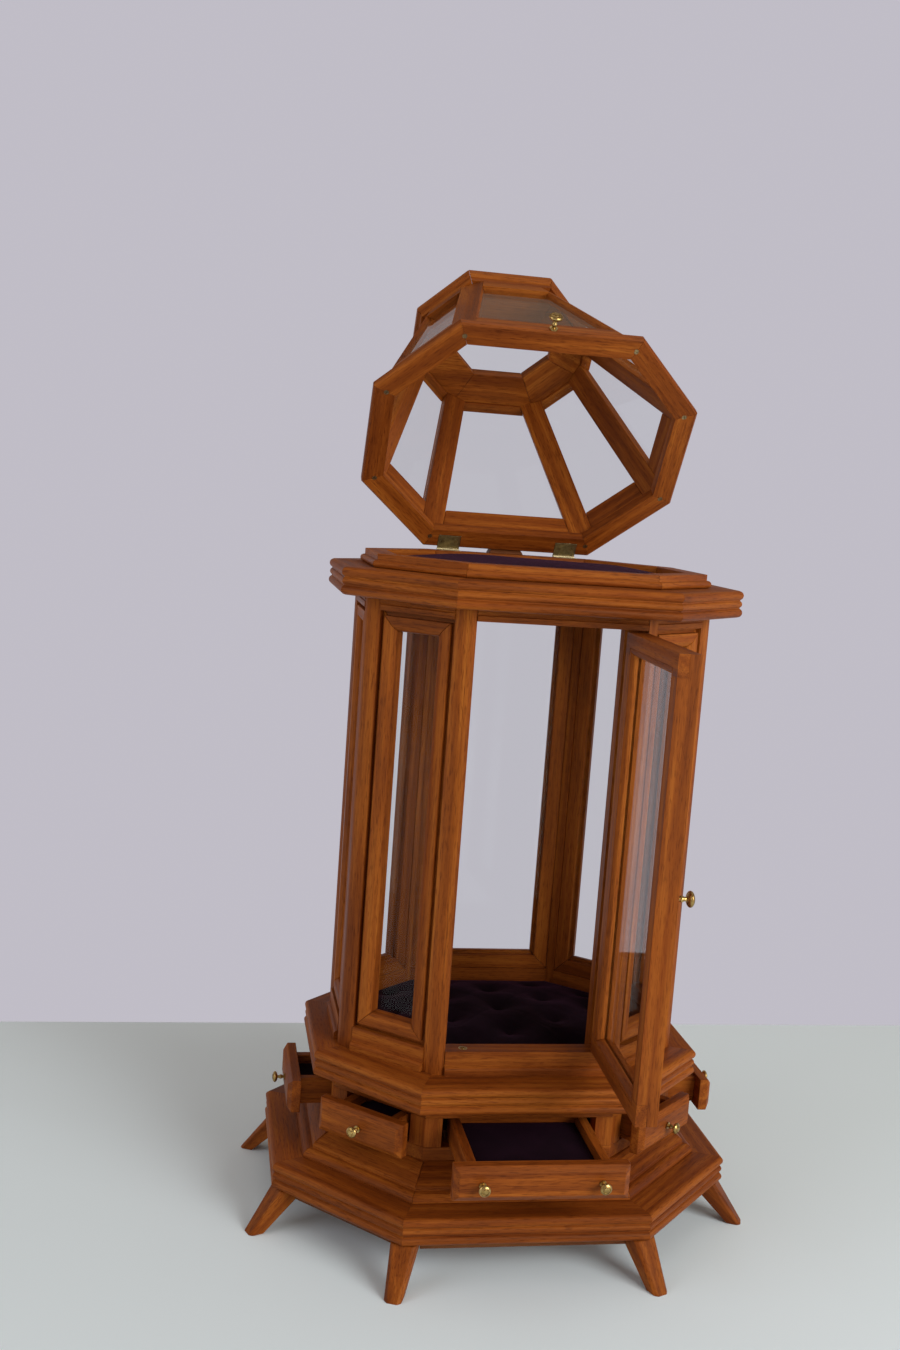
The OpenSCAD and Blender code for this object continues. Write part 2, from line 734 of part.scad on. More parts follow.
// Four bars with 45 degree ends round a rectangle w by h in the plane X = 0.
// The child's section has X outwards and Y from the bar's outer edge inwards.
module mitred_frame(w, h, bar_w) {
    for (k = [0:3]) rotate([90 * k, 0, 0]) {
        l = k % 2 == 0 ? w : h;
        far = (k % 2 == 0 ? h : w) / 2;
        intersection() {
            rotate([90, 0, 0]) linear_extrude(height = l, center = true)
                translate([0, -far]) children();
            rotate([90, 0, 90]) linear_extrude(height = cut_reach, center = true) polygon([
                [glue_line - l / 2, -far], [l / 2 - glue_line, -far],
                [l / 2 - glue_line - bar_w, bar_w - far], [glue_line - l / 2 + bar_w, bar_w - far]
            ]);
        }
    }
}

module at_panel(i) at_side(body_line, i) translate([0, 0, (sill_z + head_z) / 2]) children();

module panel_frames() color(wood) for (i = [1:7]) at_panel(i)
    mitred_frame(panel_w(i), panel_h, frame_w) frame_section();

module side_panes() color(glass) for (i = [1:7]) at_panel(i) {
    w = panel_w(i) - 2 * (frame_w - rebate_w + glass_fit);
    h = panel_h - 2 * (frame_w - rebate_w + glass_fit);
    translate([glass_x - glue_line - glass_t, -w / 2, -h / 2]) cube([glass_t, w, h]);
}

// Cushions: a crowned top over a drawn-in edge, in rings from the middle out.
// The shares are of the edge's height, of the crown, and of the way from middle to edge.
cushion_turns = 56;
cushion_rings = 13;
cushion_belly_share = 0.3;
cushion_widest_share = 0.5;
cushion_seam_share = 0.4;
cushion_droop_share = 0.12;
cushion_crown_power = 2.6;
tuft_fade_power = 6;
facing_share = 0.001;

function ray_reach(p, a) = min([
    for (i = [0:7]) let (n = outward(p, i), s = n * [cos(a), sin(a)]) if (s > facing_share) (p[i] * n) / s
]);
function inside(p, v) = min([for (i = [0:7]) (p[i] - v) * outward(p, i)]);
function tuft_places(p) = [
    for (k = [-2:2]) for (r = [-2:2]) let (v = [k * tuft_step_x, (k % 2 == 0 ? r : r + 0.5) * tuft_step_y])
        if (inside(p, v) > tuft_r) v
];
function dimple(v, tufts) = len(tufts) == 0 ? 0
    : max([for (t = tufts) exp(-pow(norm(v - t) / tuft_r, 2))]);

module cushion(p, edge_h, crown_h, tufts, depth) {
    belly = edge_h * cushion_belly_share;
    n = cushion_turns;
    m = cushion_rings;
    function rim(k) = let (a = 360 * k / n) ray_reach(p, a) * [cos(a), sin(a)];
    function top_z(v, s) = edge_h
        + (crown_h - edge_h) * (1 - pow(s, cushion_crown_power)) * (1 - cushion_droop_share * s)
        - depth * dimple(v, tufts) * (1 - pow(s, tuft_fade_power));
    rims = [for (k = [0:n - 1]) rim(k)];
    low = [for (k = [0:n - 1]) let (v = rims[k], u = unit(v)) concat(v - belly * u, 0)];
    side = [for (k = [0:n - 1]) concat(rims[k], edge_h * cushion_widest_share)];
    upper = [for (j = [0:m - 1]) for (k = [0:n - 1])
        let (s = 1 - j / m, v = (rims[k] - belly * cushion_seam_share * unit(rims[k])) * s)
            concat(v, top_z(v, s))];
    polyhedron(
        points = concat([[0, 0, 0]], low, side, upper, [[0, 0, top_z([0, 0], 0)]]),
        faces = concat(
            [for (k = [0:n - 1]) [0, 1 + k, 1 + (k + 1) % n]],
            [for (j = [0:m]) for (k = [0:n - 1]) let (a = 1 + j * n + k, b = 1 + j * n + (k + 1) % n)
                [a, a + n, b + n]],
            [for (j = [0:m]) for (k = [0:n - 1]) let (a = 1 + j * n + k, b = 1 + j * n + (k + 1) % n)
                [a, b + n, b]],
            [for (k = [0:n - 1]) let (c = 1 + (m + 1) * n) [c + k, 1 + (m + 2) * n, c + (k + 1) % n]]
        ),
        convexity = 6
    );
}

cushion_fit = 1;
module floor_cushion() color(velvet) translate([0, 0, body_z]) difference() {
    line = grown(body_line, -post_t - cushion_fit);
    cushion(line, cushion_edge_h, cushion_h, tuft_places(line), tuft_t);
    linear_extrude(height = cut_reach, center = true) offset(delta = cushion_fit)
        polygon(hinge_post_outline());
}

module top_pad() color(velvet) translate([0, 0, ring_z])
    cushion(grown(ring_line, -ring_w - cushion_fit), pad_edge_h, pad_h, [], 0);

// The raised ring on the top plate
hinge_axis_y = ring_line[4][1] + knuckle_r + seat_gap;
lid_gap = 0.6;
hinge_axis_z = ring_top_z + lid_gap / 2;

module top_ring() color(wood) difference() {
    side_bars(ring_line, ring_w, cut_over) translate([0, ring_z]) {
        translate([-ring_w, 0]) square([ring_w - ring_step, ring_h]);
        translate([-ring_w, 0]) square([ring_w - ring_bead_h / 2, ring_bead_h]);
        translate([-ring_bead_h / 2, ring_bead_h / 2]) circle(d = ring_bead_h);
    }
    for (s = [-1, 1]) translate([s * lid_hinge_x, 0, 0]) lid_leaf_pocket(-1);
}

// The pocket for a lid leaf, below (way -1) or above (way 1) the hinge axis
module lid_leaf_pocket(way) {
    low = way < 0 ? hinge_axis_z - leaf_t - 2 * glue_line : hinge_axis_z - cut_over;
    translate([-lid_hinge_l / 2 - glue_line, ring_line[4][1] - lid_leaf_w - glue_line, low])
        cube([lid_hinge_l + 2 * glue_line, lid_leaf_w + knuckle_r + 2 * glue_line,
            leaf_t + 2 * glue_line + cut_over]);
}

// The block behind the ring, whose slope the open lid's back edge leans on
lid_rest = 57;
stop_end_share = 0.62;
function stop_slope_z(y) = hinge_axis_z + (y - hinge_axis_y) / tan(lid_rest)
    + (hinge_axis_y - ring_line[4][1] - glass_fit) / sin(lid_rest);

module lid_stop_block() color(dark_wood) {
    low = ring_line[4][1] + sliding_fit;
    back = low + stop_l;
    top = stop_slope_z(back);
    intersection() {
        rotate([90, 0, 90]) linear_extrude(height = stop_w, center = true) polygon([
            [low, ring_z], [back, ring_z], [back, top], [low, stop_slope_z(low)]
        ]);
        rotate([90, 0, 0]) linear_extrude(height = cut_reach, center = true) polygon([
            [-stop_w / 2, ring_z], [stop_w / 2, ring_z], [stop_w / 2, ring_top_z],
            [stop_w * stop_end_share / 2, top], [-stop_w * stop_end_share / 2, top],
            [-stop_w / 2, ring_top_z]
        ]);
    }
}

// Hinges: axis along Z, leaves towards -X. The fixed leaf lies below Y = 0 and holds
// the pin and the two outer knuckles. The moving leaf lies above it with the middle one.
module leaf_plate(l, w) {
    translate([-w - knuckle_r, 0, -l / 2]) cube([w + knuckle_r, leaf_t, l]);
}

module fixed_leaf(l, w) {
    part = l / 3;
    for (s = [-1, 1]) translate([0, 0, s * part])
        cylinder(h = part - glue_line, r = knuckle_r, center = true);
    cylinder(h = l, r = pin_r, center = true);
    difference() {
        translate([0, -leaf_t - glue_line / 2, 0]) leaf_plate(l, w);
        cylinder(h = part + glue_line, r = knuckle_r + seat_gap, center = true);
    }
}

module moving_leaf(l, w) {
    part = l / 3;
    difference() {
        union() {
            cylinder(h = part - glue_line, r = knuckle_r, center = true);
            translate([0, glue_line / 2, 0]) leaf_plate(l, w);
        }
        for (s = [-1, 1]) translate([0, 0, s * part])
            cylinder(h = part + glue_line, r = knuckle_r + seat_gap, center = true);
        cylinder(h = l + cut_over, r = pin_r + pin_fit, center = true);
    }
}

module at_lid_hinges() for (s = [-1, 1])
    translate([s * lid_hinge_x, hinge_axis_y, hinge_axis_z]) rotate([90, 0, 90]) children();

module at_door_hinges() for (z = door_hinge_z)
    translate([door_axis[0], door_axis[1], z]) rotate([0, 0, -90]) rotate([180, 0, 0]) children();

module fixed_hinge_leaves() color(brass) {
    at_lid_hinges() fixed_leaf(lid_hinge_l, lid_leaf_w);
    at_door_hinges() fixed_leaf(door_hinge_l, door_leaf_w);
}

// Everything on the lid is built closed and then tilted back about its hinge axis
module lid_place() translate([0, hinge_axis_y, hinge_axis_z]) rotate([-lid_open, 0, 0])
    translate([0, -hinge_axis_y, -hinge_axis_z]) children();

lid_z = ring_top_z + lid_gap;
slope_z = lid_z + lid_ring_t;
slope_top_z = lid_z + lid_rise;
slope_line = grown(ring_line, -lid_slope_inset);
lid_top_line = octagon(lid_top_w, lid_top_d, lid_top_front, lid_top_side);
slope_top_line = grown(lid_top_line, -lid_top_overhang);

module lid_base_ring() color(wood) lid_place() difference() {
    side_bars(ring_line, lid_ring_w, 0) translate([0, lid_z]) polygon([
        [-lid_ring_w, 0], [-lid_edge, 0], [0, lid_edge], [0, lid_ring_t - 2 * lid_edge],
        [-lid_edge, lid_ring_t - 2 * lid_edge], [-2 * lid_edge, lid_ring_t], [-lid_ring_w, lid_ring_t]
    ]);
    for (s = [-1, 1]) translate([s * lid_hinge_x, 0, 0]) lid_leaf_pocket(1);
    for (i = [0:7]) lid_screw_place(i) cylinder(h = screw_l + cut_over, r = screw_r + pin_fit);
}
lid_edge = 1.6;

// Outline at share s of the lid's slope
function slope_section(s) = slope_line * (1 - s) + slope_top_line * s;
function slope_height(s) = slope_z + (slope_top_z - slope_z) * s;

// A slab in lid face i from share s0 to s1, from depth t0 to t1. Its ends lie w from the
// corner lines and run parallel to the ribs' sides.
function slab_outline(i, s, w, t0, t1) = let (
    p = slope_section(s), d = along(p, i), n = outward(p, i),
    a0 = p[i] + d * w, a1 = d * miter(p, i) - n,
    b0 = p[(i + 1) % 8] - d * w, b1 = -d * miter(p, (i + 1) % 8) - n
) lifted([a0 + a1 * t0, b0 + b1 * t0, b0 + b1 * t1, a0 + a1 * t1], slope_height(s));

module slab(i, s0, s1, w, t0, t1) loft(slab_outline(i, s0, w, t0, t1), slab_outline(i, s1, w, t0, t1));

low_rail_share = lid_rail_h / (lid_rise - lid_ring_t);
head_rail_share = 1 - lid_head_h / (lid_rise - lid_ring_t);
slope_gap_share = glue_line / (lid_rise - lid_ring_t);

module lid_rails() color(wood) lid_place() for (i = [0:7]) {
    slab(i, slope_gap_share, low_rail_share, rib_w + glue_line, 0, rib_t);
    slab(i, head_rail_share, 1 - slope_gap_share, rib_w + glue_line, 0, rib_t);
}

// A rib is a flat-faced bar across the corner, with sides parallel to the corner's middle line
function rib_outline(i, s, t) = let (
    p = slope_section(s), n0 = outward(p, before(i)), n1 = outward(p, i),
    a = p[i % 8] - along(p, before(i)) * rib_w, b = p[i % 8] + along(p, i) * rib_w,
    deep = (n0 + n1) * t / (1 + n0 * n1)
) lifted([a, b, b - deep, a - deep], slope_height(s));

module lid_ribs() color(wood) lid_place() for (i = [0:7])
    loft(rib_outline(i, slope_gap_share, rib_t), rib_outline(i, 1 - slope_gap_share, rib_t));

module lid_side_panes() color(glass) lid_place() for (i = [0:7]) {
    s = 2 * slope_gap_share;
    t = (rib_t - glass_t) / 2;
    slab(i, low_rail_share + s, head_rail_share - s, rib_w + 2 * glue_line, t, t + glass_t);
}

// One board of the inner frame: mitred, and cut off where it meets the ribs and the rails
liner_top_share = 1 - lid_liner_drop / (lid_rise - lid_ring_t);
liner_t_share = lid_liner_t / (lid_rise - lid_ring_t);
liner_line = grown(lid_top_line, -lid_liner_w);
function liner_outline(i, s) = let (
    a = rib_outline(i, s, rib_t + glue_line), b = rib_outline(i + 1, s, rib_t + glue_line),
    gap = along(liner_line, i) * glue_line / 2
) [
    (a[2] + a[3]) / 2 + lifted([gap], 0)[0], a[2], b[3], (b[2] + b[3]) / 2 - lifted([gap], 0)[0],
    lifted([liner_line[(i + 1) % 8] - gap], slope_height(s))[0],
    lifted([liner_line[i] + gap], slope_height(s))[0]
];

module lid_top_frame() color(wood) {
    lid_place() side_bars(lid_top_line, lid_top_bar_w, 0)
        translate([0, slope_top_z]) polygon([
            [-lid_top_bar_w, 0], [-2 * lid_edge, 0], [-2 * lid_edge, lid_top_t / 2 - lid_edge],
            [0, lid_top_t / 2], [0, lid_top_t - lid_edge], [-lid_edge, lid_top_t],
            [-lid_top_bar_w, lid_top_t]
        ]);
    lid_place() for (i = [0:7])
        loft(liner_outline(i, liner_top_share - liner_t_share), liner_outline(i, liner_top_share));
}

module lid_top_pane() color(glass) lid_place()
    translate([0, 0, slope_height(liner_top_share) + glue_line]) linear_extrude(height = glass_t)
        polygon(grown(lid_top_line, lid_bearing_w - lid_liner_w));

module lid_knob() color(brass) lid_place()
    translate([0, ring_line[0][1] - glue_line, lid_z + lid_ring_t / 2 - lid_edge / 2])
        rotate([0, 0, -90]) knob(lid_knob_d);

module lid_hinge_leaves() color(brass) lid_place() at_lid_hinges() moving_leaf(lid_hinge_l, lid_leaf_w);

// A brass screw up into each corner of the lid's base ring
screw_r = 1.5;
screw_l = 6;
module lid_screw_place(i) {
    line = grown(ring_line, -screw_inset);
    translate([line[i][0], line[i][1], lid_z - cut_over / 4]) children();
}

module lid_screws() color(brass) lid_place() for (i = [0:7]) lid_screw_place(i)
    cylinder(h = screw_l, r = screw_r);

// Door, built closed and then turned about its hinge axis
module door_place() translate(door_axis) rotate([0, 0, door_open]) translate(-door_axis) children();

module at_door() translate([(door_left + door_right) / 2, -body_d / 2, door_z + door_h / 2])
    rotate([0, 0, -90]) children();

half_lap = door_t / 2;
lap_fit = 0.1;

// Section of a door bar: X outwards, Y from the outer edge in. Moulded outside, rebated inside.
module door_section() {
    polygon([
        [-door_t, 0], [0, 0], [0, door_bar_w - door_mould_w],
        [-door_mould_w / 3, door_bar_w - door_mould_w], [-door_mould_w, door_bar_w],
        [door_rebate_t - door_t, door_bar_w], [door_rebate_t - door_t, door_bar_w - door_rebate_w],
        [-door_t, door_bar_w - door_rebate_w]
    ]);
}

// One bar of the door: k = 0 bottom, 1 right, 2 top, 3 left, seen from outside
module door_bar(k) rotate([90 * k, 0, 0]) {
    l = k % 2 == 0 ? door_w : door_h;
    far = (k % 2 == 0 ? door_h : door_w) / 2;
    rotate([90, 0, 0]) linear_extrude(height = l, center = true) translate([0, -far]) door_section();
}

// Room that one layer of the half-lap leaves at the four corners
module lap_corners(x, t) for (y = [-1, 1]) for (z = [-1, 1])
    translate([x, y * door_w / 2 - door_bar_w - lap_fit, z * door_h / 2 - door_bar_w - lap_fit])
        cube([t, 2 * (door_bar_w + lap_fit), 2 * (door_bar_w + lap_fit)]);

// Wood at the four corners that stops a bar's rebate or moulding short of its ends, from
// y0 to y1 in from the sides and z0 to z1 in from the top and the bottom
module corner_fill(x, t, y0, y1, z0, z1) for (y = [-1, 1]) for (z = [-1, 1])
    translate([
        x, y * (door_w - y0 - y1) / 2 - (y1 - y0) / 2, z * (door_h - z0 - z1) / 2 - (z1 - z0) / 2
    ]) cube([t, y1 - y0, z1 - z0]);

module door_stiles() color(wood) door_place() difference() {
    at_door() difference() {
        union() {
            for (k = [1, 3]) door_bar(k);
            corner_fill(-door_mould_w - cut_over, door_mould_w + cut_over,
                door_bar_w - door_mould_w - cut_over, door_bar_w, 0, door_bar_w - door_mould_w);
        }
        lap_corners(-door_t - cut_over, door_t - half_lap + cut_over);
    }
    for (z = door_hinge_z) translate([door_axis[0], door_axis[1], z]) hinge_pocket(-1);
}

module door_rails() color(wood) door_place() at_door() difference() {
    union() {
        for (k = [0, 2]) door_bar(k);
        corner_fill(-door_t, door_rebate_t, 0, door_bar_w - door_rebate_w,
            door_bar_w - door_rebate_w - cut_over, door_bar_w);
    }
    lap_corners(-half_lap - lap_fit, half_lap + lap_fit + cut_over);
}

module door_pane() color(glass) door_place() at_door() {
    w = door_w - 2 * (door_bar_w - door_rebate_w + glass_fit);
    h = door_h - 2 * (door_bar_w - door_rebate_w + glass_fit);
    translate([door_rebate_t - door_t - glass_t - glue_line, -w / 2, -h / 2]) cube([glass_t, w, h]);
}

// Mitred beads that hold the door glass from inside
module door_beads() color(wood) door_place() at_door() {
    edge = door_bar_w - door_rebate_w + glue_line;
    t = door_rebate_t - glass_t - 3 * glue_line;
    mitred_frame(door_w - 2 * edge, door_h - 2 * edge, door_rebate_w) translate([-door_t + glue_line, 0])
        polygon([[0, 0], [t, 0], [t, door_rebate_w], [t / 2, door_rebate_w], [0, door_rebate_w / 2]]);
}

door_knob_share = 0.488;
module door_knob() color(brass) door_place()
    translate([door_left + door_bar_w / 2, -body_d / 2 - glue_line, door_z + door_h * door_knob_share])
        rotate([0, 0, -90]) knob(door_knob_d);

module door_hinge_leaves() color(brass) door_place() at_door_hinges() moving_leaf(door_hinge_l, door_leaf_w);

// Ball catch in the sill: a barrel with a narrowed mouth, and the ball under it
catch_wall = 1;
barrel_r = catch_r + catch_wall;
barrel_l = 12;
catch_proud = 1.2;
ball_fit = 0.1;
catch_from_edge = 16.5;
catch_place = [door_left + catch_from_edge, -body_d / 2 + door_t / 2];
mouth_r = sqrt(catch_r * catch_r - pow(catch_r - catch_proud, 2)) + ball_fit;

module at_catch() translate([catch_place[0], catch_place[1], sill_z]) children();

module catch_barrel() color(brass) at_catch() rotate_extrude($fn = 40) polygon([
    [0, -barrel_l], [barrel_r, -barrel_l], [barrel_r, 0], [mouth_r + ball_fit, 0],
    [catch_r + ball_fit, -catch_r / 2], [catch_r + ball_fit, catch_wall - barrel_l],
    [0, catch_wall - barrel_l]
]);

module catch_ball() color(brass) at_catch() translate([0, 0, catch_proud - catch_r]) sphere(r = catch_r);

feet();
under_frame();
bottom_plate();
plinth();
case_floor();
case_posts();
case_top_rails();
drawer_guides();
middle_plate();
corner_posts();
body_rails();
panel_frames();
side_panes();
floor_cushion();
top_plate();
top_ring();
top_pad();
lid_stop_block();
catch_barrel();
fixed_hinge_leaves();
door_stiles();
door_rails();
door_beads();
door_pane();
door_knob();
door_hinge_leaves();
lid_base_ring();
lid_rails();
lid_ribs();
lid_top_frame();
lid_side_panes();
lid_top_pane();
lid_knob();
lid_hinge_leaves();
lid_screws();
catch_ball();
drawer(0);  // front_drawer
drawer_pad(0);  // front_drawer_pad
drawer_knob(0);  // front_drawer_knobs
drawer(1);  // front_right_drawer
drawer_pad(1);  // front_right_drawer_pad
drawer_knob(1);  // front_right_drawer_knob
drawer(2);  // right_drawer
drawer_pad(2);  // right_drawer_pad
drawer_knob(2);  // right_drawer_knob
drawer(3);  // back_right_drawer
drawer_pad(3);  // back_right_drawer_pad
drawer_knob(3);  // back_right_drawer_knob
drawer(4);  // back_drawer
drawer_pad(4);  // back_drawer_pad
drawer_knob(4);  // back_drawer_knobs
drawer(5);  // back_left_drawer
drawer_pad(5);  // back_left_drawer_pad
drawer_knob(5);  // back_left_drawer_knob
drawer(6);  // left_drawer
drawer_pad(6);  // left_drawer_pad
drawer_knob(6);  // left_drawer_knob
drawer(7);  // front_left_drawer
drawer_pad(7);  // front_left_drawer_pad
drawer_knob(7);  // front_left_drawer_knob
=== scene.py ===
# An octagonal display cabinet in oiled wood, with a glazed door, a hinged glazed lid,
# a drawer on every side of its base, brass fittings and tufted velvet.
import json
import math

import bmesh
import bpy
import numpy as np
from mathutils import Matrix, Vector


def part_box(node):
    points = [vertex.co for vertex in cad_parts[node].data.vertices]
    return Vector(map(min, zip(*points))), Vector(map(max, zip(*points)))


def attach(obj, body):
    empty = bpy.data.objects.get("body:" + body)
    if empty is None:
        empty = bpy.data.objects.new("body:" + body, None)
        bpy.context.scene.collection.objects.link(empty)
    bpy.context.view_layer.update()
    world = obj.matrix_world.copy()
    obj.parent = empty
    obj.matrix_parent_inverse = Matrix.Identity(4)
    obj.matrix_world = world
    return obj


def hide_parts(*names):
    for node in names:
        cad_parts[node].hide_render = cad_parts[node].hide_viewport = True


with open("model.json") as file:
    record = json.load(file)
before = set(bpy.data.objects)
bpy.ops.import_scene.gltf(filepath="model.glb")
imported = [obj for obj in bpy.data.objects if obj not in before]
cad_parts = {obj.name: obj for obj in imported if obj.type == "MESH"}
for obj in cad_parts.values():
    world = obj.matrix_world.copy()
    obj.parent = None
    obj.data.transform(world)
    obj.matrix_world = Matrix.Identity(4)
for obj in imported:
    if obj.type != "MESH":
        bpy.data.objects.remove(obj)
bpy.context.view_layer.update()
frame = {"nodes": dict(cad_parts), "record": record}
body_of_node = {n: b for b, nodes in frame["record"]["behaviour"]["bodies"].items() for n in nodes}


# ---- Feet -------------------------------------------------------------------
# Eight splayed feet, sawn from solid hardwood with chamfered edges and an oil
# finish. Each is screwed up into a corner of the bottom plate.

def link(tree, source, target):
    tree.links.new(source, target)


def shader_node(tree, kind, **values):
    made = tree.nodes.new(kind)
    for key, value in values.items():
        if hasattr(made, key):
            setattr(made, key, value)
        else:
            made.inputs[key.replace("_", " ")].default_value = value
    return made


def plain_material(name):
    mat = bpy.data.materials.new(name)
    mat.use_nodes = True
    return mat, mat.node_tree, mat.node_tree.nodes["Principled BSDF"]


def stretched(tree, vector, scale):
    mapping = shader_node(tree, "ShaderNodeMapping")
    mapping.inputs["Scale"].default_value = scale
    link(tree, vector, mapping.inputs["Vector"])
    return mapping.outputs["Vector"]


def ramp(tree, source, stops):
    made = tree.nodes.new("ShaderNodeValToRGB")
    while len(made.color_ramp.elements) < len(stops):
        made.color_ramp.elements.new(0.5)
    for element, (place, colour) in zip(made.color_ramp.elements, stops):
        element.position = place
        element.color = (*colour, 1)
    link(tree, source, made.inputs["Fac"])
    return made.outputs["Color"]


def sum_of(tree, *terms):
    total = None
    for socket, weight in terms:
        part = shader_node(tree, "ShaderNodeMath", operation="MULTIPLY")
        link(tree, socket, part.inputs[0])
        part.inputs[1].default_value = weight
        if total is None:
            total = part.outputs[0]
            continue
        add = shader_node(tree, "ShaderNodeMath", operation="ADD")
        link(tree, total, add.inputs[0])
        link(tree, part.outputs[0], add.inputs[1])
        total = add.outputs[0]
    return total


def tinted(tree, kind, share, a, b):
    mix = tree.nodes.new("ShaderNodeMix")
    mix.data_type = "RGBA"
    mix.blend_type = kind
    for socket, value in ((mix.inputs["Factor"], share), (mix.inputs["A"], a), (mix.inputs["B"], b)):
        socket = socket if socket.name == "Factor" else next(
            s for s in mix.inputs if s.name == socket.name and s.type == "RGBA")
        if isinstance(value, bpy.types.NodeSocket):
            link(tree, value, socket)
        elif isinstance(value, tuple):
            socket.default_value = (*value, 1)
        else:
            socket.default_value = value
    return next(s for s in mix.outputs if s.type == "RGBA")


def oiled_wood(name, light, middle, dark, red):
    """Hardwood with long streaks, growth rings and short dark pores along each board's own grain."""
    mat, tree, skin = plain_material(name)
    grain = shader_node(tree, "ShaderNodeAttribute", attribute_name="grain").outputs["Vector"]
    board = shader_node(tree, "ShaderNodeAttribute", attribute_name="board").outputs["Fac"]
    rings = shader_node(tree, "ShaderNodeTexWave", wave_type="RINGS", rings_direction="X", Scale=30,
                        Distortion=5, Detail=3, Detail_Scale=1.4, Detail_Roughness=0.6)
    link(tree, stretched(tree, grain, (0.09, 1, 1)), rings.inputs["Vector"])
    streaks = shader_node(tree, "ShaderNodeTexNoise", Scale=1, Detail=6, Roughness=0.7)
    link(tree, stretched(tree, grain, (14, 420, 420)), streaks.inputs["Vector"])
    clouds = shader_node(tree, "ShaderNodeTexNoise", Scale=1, Detail=3, Roughness=0.5)
    link(tree, stretched(tree, grain, (5, 28, 28)), clouds.inputs["Vector"])
    dashes = shader_node(tree, "ShaderNodeTexNoise", Scale=1, Detail=2, Roughness=0.5)
    link(tree, stretched(tree, grain, (95, 1150, 1150)), dashes.inputs["Vector"])
    figure = sum_of(tree, (rings.outputs["Fac"], 0.1), (streaks.outputs["Fac"], 0.42),
                    (clouds.outputs["Fac"], 0.5))
    colour = ramp(tree, figure, [(0.36, dark), (0.52, middle), (0.7, light)])
    pores = ramp(tree, dashes.outputs["Fac"], [(0.34, (0.5, 0.4, 0.34)), (0.46, (1, 1, 1))])
    colour = tinted(tree, "MULTIPLY", 0.8, colour, pores)
    shade = ramp(tree, board, [(0, (0.82, 0.76, 0.72)), (0.5, (1, 1, 1)), (1, (1.12, 1.12, 1.08))])
    colour = tinted(tree, "MULTIPLY", 1.0, colour, shade)
    blush = ramp(tree, clouds.outputs["Fac"], [(0.5, (0, 0, 0)), (0.75, (0.5, 0.5, 0.5))])
    colour = tinted(tree, "MIX", blush, colour, red)
    link(tree, colour, skin.inputs["Base Color"])
    gloss = sum_of(tree, (streaks.outputs["Fac"], 0.35), (clouds.outputs["Fac"], 0.75))
    link(tree, gloss, skin.inputs["Roughness"])
    skin.inputs["Specular IOR Level"].default_value = 0.22
    skin.inputs["Specular Tint"].default_value = (1, 0.72, 0.45, 1)
    bump = shader_node(tree, "ShaderNodeBump", Strength=0.4, Distance=0.0003)
    relief = sum_of(tree, (streaks.outputs["Fac"], 0.6), (dashes.outputs["Fac"], 0.5))
    link(tree, relief, bump.inputs["Height"])
    link(tree, bump.outputs["Normal"], skin.inputs["Normal"])
    return mat


cabinet_wood = oiled_wood("oiled_wood", (0.43, 0.136, 0.018), (0.243, 0.059, 0.007), (0.128, 0.026, 0.004),
                          (0.18, 0.03, 0.003))


def shown(name, mesh, material, body, slot, *nodes):
    """Puts a mesh in the scene as a piece that rides on a body and stands for CAD nodes."""
    mesh.materials.clear()
    mesh.materials.append(material)
    piece = bpy.data.objects.new(name, mesh)
    bpy.context.scene.collection.objects.link(piece)
    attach(piece, body)
    if nodes:
        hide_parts(*nodes)
    return piece


def smoothed(piece, angle=38):
    mesh = piece.data
    mesh.polygons.foreach_set("use_smooth", [True] * len(mesh.polygons))
    mesh.set_sharp_from_angle(angle=math.radians(angle))
    weighted = piece.modifiers.new("even_normals", "WEIGHTED_NORMAL")
    weighted.keep_sharp = True
    weighted.weight = 100


def softened_copy(node, arris, arris_angle=28):
    """A closed copy of a CAD node's mesh, with its sharp edges rounded by arris."""
    flat_angle, seam = math.radians(0.8), 0.00001
    bm = bmesh.new()
    bm.from_mesh(frame["nodes"][node].data)
    bmesh.ops.remove_doubles(bm, verts=bm.verts, dist=seam)
    bmesh.ops.dissolve_limit(bm, angle_limit=flat_angle, verts=bm.verts, edges=bm.edges)
    if arris:
        edges = [e for e in bm.edges
                 if len(e.link_faces) == 2 and e.calc_face_angle(0) > math.radians(arris_angle)]
        bmesh.ops.bevel(bm, geom=edges, offset=arris, offset_type="OFFSET", segments=2, profile=0.6,
                        affect="EDGES", clamp_overlap=True)
    return bm


